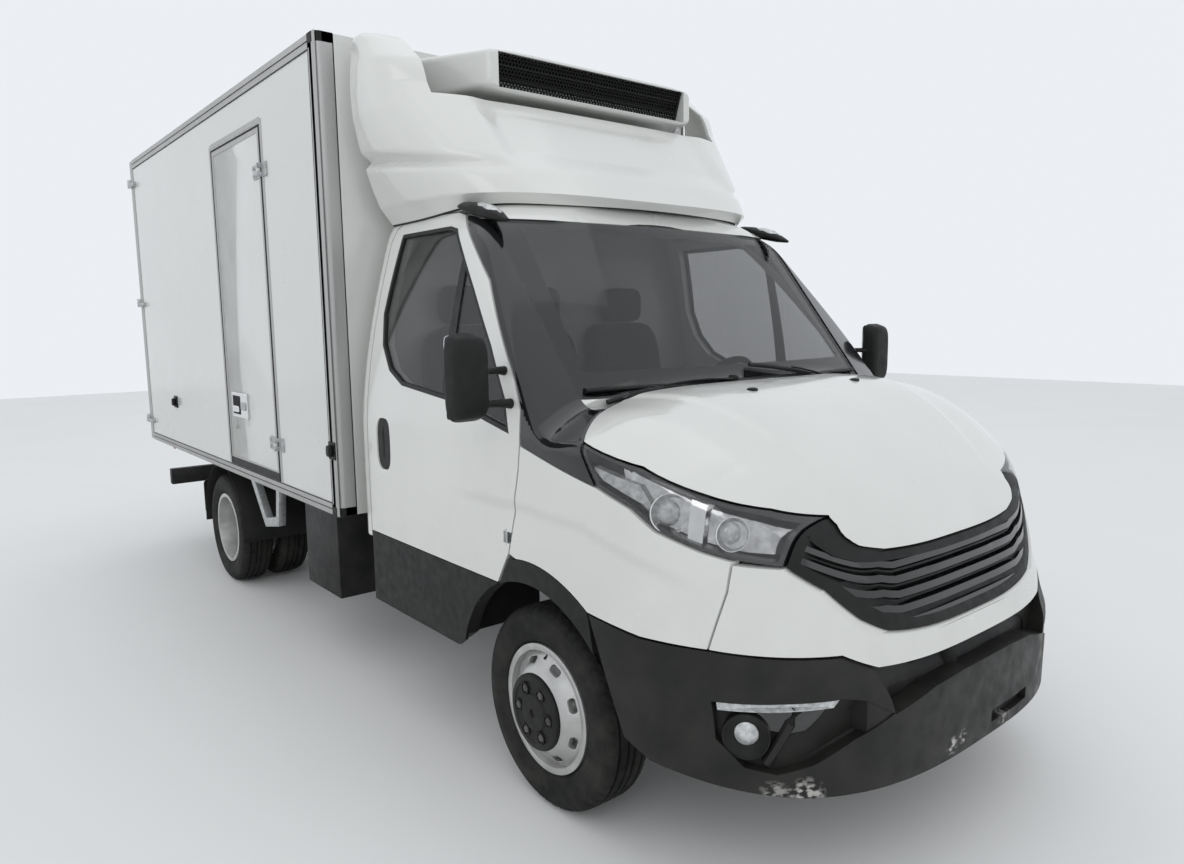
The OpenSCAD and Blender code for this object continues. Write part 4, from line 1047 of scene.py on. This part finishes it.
def side_door():
    """The side door's seal, edging, frame, latch, hinges and stops."""
    y = -1080.0
    low, high, z0, z1 = -2887.5, -2087.5, 862.5, 2612.5
    corners = [(low, z0), (high, z0), (high, z1), (low, z1)]
    bars = [tube([(xa, y - 0.6, za), ((xa + xb) / 2, y - 0.6, (za + zb) / 2), (xb, y - 0.6, zb)], 4.5, 8)
            for (xa, za), (xb, zb) in zip(corners, corners[1:] + corners[:1])]
    show("side_door_seal", merged(bars), "rubber_seal", "side_door")
    edge = [on_wall(*place, 2.2) for place in (
        (low + 6, low + 30, z0 + 6, z1 - 6), (high - 30, high - 6, z0 + 6, z1 - 6),
        (low + 30, high - 30, z1 - 30, z1 - 6), (low + 30, high - 30, z0 + 36, z0 + 44))]
    show("side_door_edging", merged(edge), "aluminium_trim", "side_door", bevel=0.0008)
    show("side_door_kick", on_wall(low + 6, high - 6, z0 + 2, z0 + 36, 3), "rubber_seal", "side_door", bevel=0.0015)
    frame_bars = [on_wall(*place, 2) for place in (
        (-2925, -2899, 840, 2640), (-2076, -2050, 840, 2640), (-2899, -2076, 2624, 2650))]
    show("side_door_frame", merged(frame_bars), "aluminium_trim", bevel=0.0008)
    show("latch_plate", on_wall(-2790, -2530, 1140, 1280, 9), "chrome", "side_door", bevel=0.004)
    show("latch_cup", on_wall(-2768, -2640, 1158, 1262, 11, -4), "dark_void", "side_door", bevel=0.003)
    show("latch_lever", rounded((-2760, y - 15.5, 1170), (-2655, y - 9, 1205), 5), "chrome", "side_door")
    show("latch_bolt", rounded((-2625, y - 15, 1186), (-2545, y - 8, 1232), 5), "galvanised", "side_door")
    key = [tube([(-2712, y - 10, 1128), (-2714, y - 12, 1100)], 3, 8),
           lathe([(8, -3), (13, -3), (13, 1), (8, 1)], (-2716, y - 12, 1086), 24, "y", -1)]
    show("latch_key", merged(key), "galvanised", "side_door")
    for z in (1050, 2400):
        show(f"hinge_leaf_{z}", on_wall(-2196, -2092, z - 34, z + 34, 7), "galvanised", "side_door", bevel=0.002)
        show(f"hinge_leaf_wall_{z}", on_wall(-2066, -2004, z - 34, z + 34, 7), "galvanised", bevel=0.002)
        bolts = [lathe([(0.5, 7), (8, 7), (8, 10), (5, 13), (0.5, 13.5)], (x, y, z + dz), 20, "y", -1)
                 for x in (-2176, -2140) for dz in (-18, 18)]
        show(f"hinge_bolts_{z}", merged(bolts), "galvanised", "side_door")
    for name, x, z in (("catch", -1380, 1095), ("stop", -4095, 1135)):
        parts = [on_wall(x - 38, x + 38, z - 40, z + 40, 8),
                 rounded((x - 20, y - 30, z - 26), (x + 20, y - 6, z + 26), 4)]
        show(f"door_{name}", merged(parts), "black_plastic", bevel=0.003)


box_body()
side_door()


# ---- Mirrors, wipers, bonnet details, inside of the cab ----


def mirrors():
    for side, name in SIDES:
        body = f"door_{name}"

        def bend(p):
            share = (p[:, 0] + 136) / 72
            narrow = 1 - 0.16 * np.clip(share, 0, 1)
            middle = (side * 1147.5, 1477)
            p[:, 1] = middle[0] + (p[:, 1] - middle[0]) * narrow
            p[:, 2] = middle[1] + (p[:, 2] - middle[1]) * narrow
            return p

        ya, yb = flank(side, 1074, 1221)
        head = rounded((-136, ya, 1329), (-61, yb, 1625), 5, (44, 30), bend)
        show(f"mirror_head_{name}", head, "black_plastic", body, [f"mirror_{name}"], angle=60)
        y0, y1 = flank(side, 1088, 1208)
        show(f"mirror_face_{name}", rounded((-138.5, y0, 1412), (-133, y1, 1612), 10), "mirror_glass", body)
        show(f"mirror_face_low_{name}", rounded((-138.5, y0, 1344), (-133, y1, 1402), 10), "mirror_glass", body)
        seam = [(-72, side * 1088, 1405), (-66, side * 1147, 1405), (-74, side * 1206, 1405)]
        show(f"mirror_seam_{name}", tube(seam, 3, 8), "dark_void", body)
        for level, base, thick in ((1385, -96, 15), (1490, -152, 13)):
            foot = side * (flank_y(level) - 1)
            path = [(base, foot, level), (base - 2, foot + side * 30, level + 3),
                    ((base - 112) / 2, side * 1060, level + 3), (-110, side * 1096, level)]
            arm = tube(path, [thick + 7, thick + 2, thick, thick + 3], 16, 0.8)
            show(f"mirror_arm_{level}_{name}", arm, "black_plastic", body)


def screen_point(x, y, lift=0.0):
    """A point on the windscreen across the cab, lifted off it."""
    z = SCREEN_FOOT_Z + (screen_foot(y) - x) / SCREEN_SLOPE
    n = np.array([1 / SCREEN_SLOPE, 220 * y / 889**2 / SCREEN_SLOPE, 1.0])
    n /= np.linalg.norm(n)
    return np.array([x, y, z]) + n * (lift - 4)


def wipers():
    for name, pivot, tip in (("right", (102, -120), (70, -690)), ("left", (102, 560), (66, 30))):
        def along(k, lift):
            return screen_point(pivot[0] + (tip[0] - pivot[0]) * k, pivot[1] + (tip[1] - pivot[1]) * k, lift)

        arm = [along(k, 16 + 16 * math.sin(math.pi * k)) for k in np.linspace(0, 0.62, 9)]
        show(f"wiper_arm_{name}", tube(arm, np.linspace(9, 5, 9), 12, 0.6), "black_plastic")
        blade = [along(k, 14) for k in np.linspace(0.18, 1.05, 24)]
        show(f"wiper_blade_{name}", tube(blade, 6.5, 10, 1.3), "rubber_seal")
        base = screen_point(*pivot, 6)
        boss = lathe([(0.5, 0), (20, 0), (20, 14), (14, 22), (0.5, 24)], base, 32, "z")
        show(f"wiper_boss_{name}", boss, "black_plastic")
    cowl = [screen_point(96 - 108 * (y / 889) ** 2 + 6, y, 2) for y in np.linspace(-770, 770, 40)]
    show("cowl_strip", tube(cowl, 17, 12, 0.5), "black_plastic")


def bonnet_bits():
    for side, name in SIDES:
        x, y = 345, side * 300
        top = float(bonnet_top(x, y))
        jet = rounded((x - 16, y - 20, top - 8), (x + 16, y + 20, top + 8), 2.6)
        show(f"washer_jet_{name}", jet, "black_plastic", "bonnet")


def seat(name, node_name, y, half, heads):
    def sag(p):
        x, z = p[:, 0].copy(), p[:, 2].copy()
        p[:, 0] = x - 0.17 * np.maximum(0, z - 1050)
        return p

    def pillow(low, high, tag, power=5, bend=None):
        made = rounded(low, high, power, (48, 30), bend)
        piece = show(f"{name}_{tag}", made, "seat_fabric", angle=70)
        return piece

    first = pillow((-1018, y - half, 915), (-520, y + half, 1056), "cushion")
    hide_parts(node_name)
    pillow((-1140, y - half + 8, 1040), (-1010, y + half - 8, 1640), "back", 5, sag)
    for i, place in enumerate(heads):
        pillow((-1196, place - 120, 1642), (-1112, place + 120, 1818), f"head_{i + 1}", 4)
        posts = [tube([(-1152, place + k, 1600), (-1153, place + k, 1660)], 6, 10) for k in (-45, 45)]
        show(f"{name}_posts_{i + 1}", merged(posts), "chrome")
    show(f"{name}_base", block((-1010, y - half + 40, 763), (-580, y + half - 40, 918)), "dash_plastic", bevel=0.008)
    seams = []
    for k in (-0.45, 0.45) if half < 300 else (-0.7, -0.25, 0.05, 0.65):
        line = [(-1015 + 495 * t, y + half * k, 1052 + 3 * math.sin(math.pi * t)) for t in np.linspace(0.05, 0.9, 12)]
        seams.append(tube(line, 2.2, 6))
    show(f"{name}_seams", merged(seams), "rubber_seal")


mirrors()
wipers()
bonnet_bits()
seat("driver", "driver_seat", 430, 240, [430])
seat("passenger", "passenger_seat", -320, 430, [-530, -110])


# ---- CAD nodes that stay ----

SHOWN_LOOK = {"bumper_beam": "chassis_black", "fuel_tank": "black_plastic", "side_locker": "chassis_black"}
BEVELS = {"hinge_brackets": 0.0008, "steering_wheel": 0, "rear_axle": 0, "chassis_frame": 0.003, "box_rails": 0.001,
          "side_door": 0.003, "rear_door_left": 0.003, "rear_door_right": 0.003, "box_floor": 0.002, "box_roof": 0.002}


def dress_nodes():
    for name, made in NODES.items():
        if made.hide_render:
            continue
        old = made.data.materials[0].name.split(".")[0] if made.data.materials else "black_plastic"
        look = SHOWN_LOOK.get(name, old)
        made.data.materials.clear()
        made.data.materials.append(FINISHES[look])
        width = BEVELS.get(name, 0.005)
        if width:
            soften(made, width, 30, weld=True)


dress_nodes()


# ---- Floor, light and camera ----


FLOOR_SIZE = 40.0
SKY_COLOUR, SKY_STRENGTH = (0.93, 0.96, 1.0, 1), 0.9


def stage():
    bpy.ops.mesh.primitive_plane_add(size=FLOOR_SIZE, location=(0, 0, 0))
    floor = bpy.context.object
    floor.name = "floor"
    pale = finish("floor_paper", (0.80, 0.80, 0.79), 0.7, grain=(30, 0.02), mottle=(0.7, 0.01))
    floor.data.materials.append(pale)
    world = bpy.data.worlds.new("studio")
    world.use_nodes = True
    sky = world.node_tree.nodes["Background"]
    sky.inputs["Color"].default_value, sky.inputs["Strength"].default_value = SKY_COLOUR, SKY_STRENGTH
    bpy.context.scene.world = world
    # name, place, aim, width in metres and power in watts
    lamps = (("key", (7, -7, 7), (0, 0, 1.2), 6.0, 120), ("side", (-5, -10, 5), (-1, 0, 1.5), 6.0, 20),
             ("front", (11, 2, 4), (1, 0, 1.2), 5.0, 30), ("top", (0, 0, 9), (0, 0, 0), 8.0, 60),
             ("back", (-9, 7, 6), (0, 0, 1.2), 6.0, 30))
    for name, place, aim, width, power in lamps:
        light = bpy.data.lights.new(name, "AREA")
        light.size, light.energy = width, power
        made = bpy.data.objects.new(name, light)
        made.location = place
        made.rotation_mode = "QUATERNION"
        made.rotation_quaternion = (Vector(aim) - Vector(place)).to_track_quat("-Z", "Y")
        bpy.context.scene.collection.objects.link(made)


CAMERA_PLACE, CAMERA_LENS = (4.157, -2.527, 1.652), 25.58  # metres, mm
CAMERA_TURN = (0.6852, 0.1317, -0.0138)  # yaw, pitch and roll in radians


def camera():
    yaw, pitch, roll = CAMERA_TURN
    view = Vector((-math.cos(yaw) * math.cos(pitch), math.sin(yaw) * math.cos(pitch), -math.sin(pitch)))
    right = view.cross(Vector((0, 0, 1))).normalized()
    up = right.cross(view)
    right, up = right * math.cos(roll) + up * math.sin(roll), up * math.cos(roll) - right * math.sin(roll)
    data = bpy.data.cameras.new("camera")
    data.sensor_width, data.lens, data.clip_end = 36.0, CAMERA_LENS, 200.0
    made = bpy.data.objects.new("camera", data)
    turn = Matrix((right, up, -view)).transposed().to_4x4()
    made.matrix_world = Matrix.Translation(CAMERA_PLACE) @ turn
    bpy.context.scene.collection.objects.link(made)
    bpy.context.scene.camera = made


stage()
camera()
bpy.context.scene.view_settings.view_transform = "Standard"
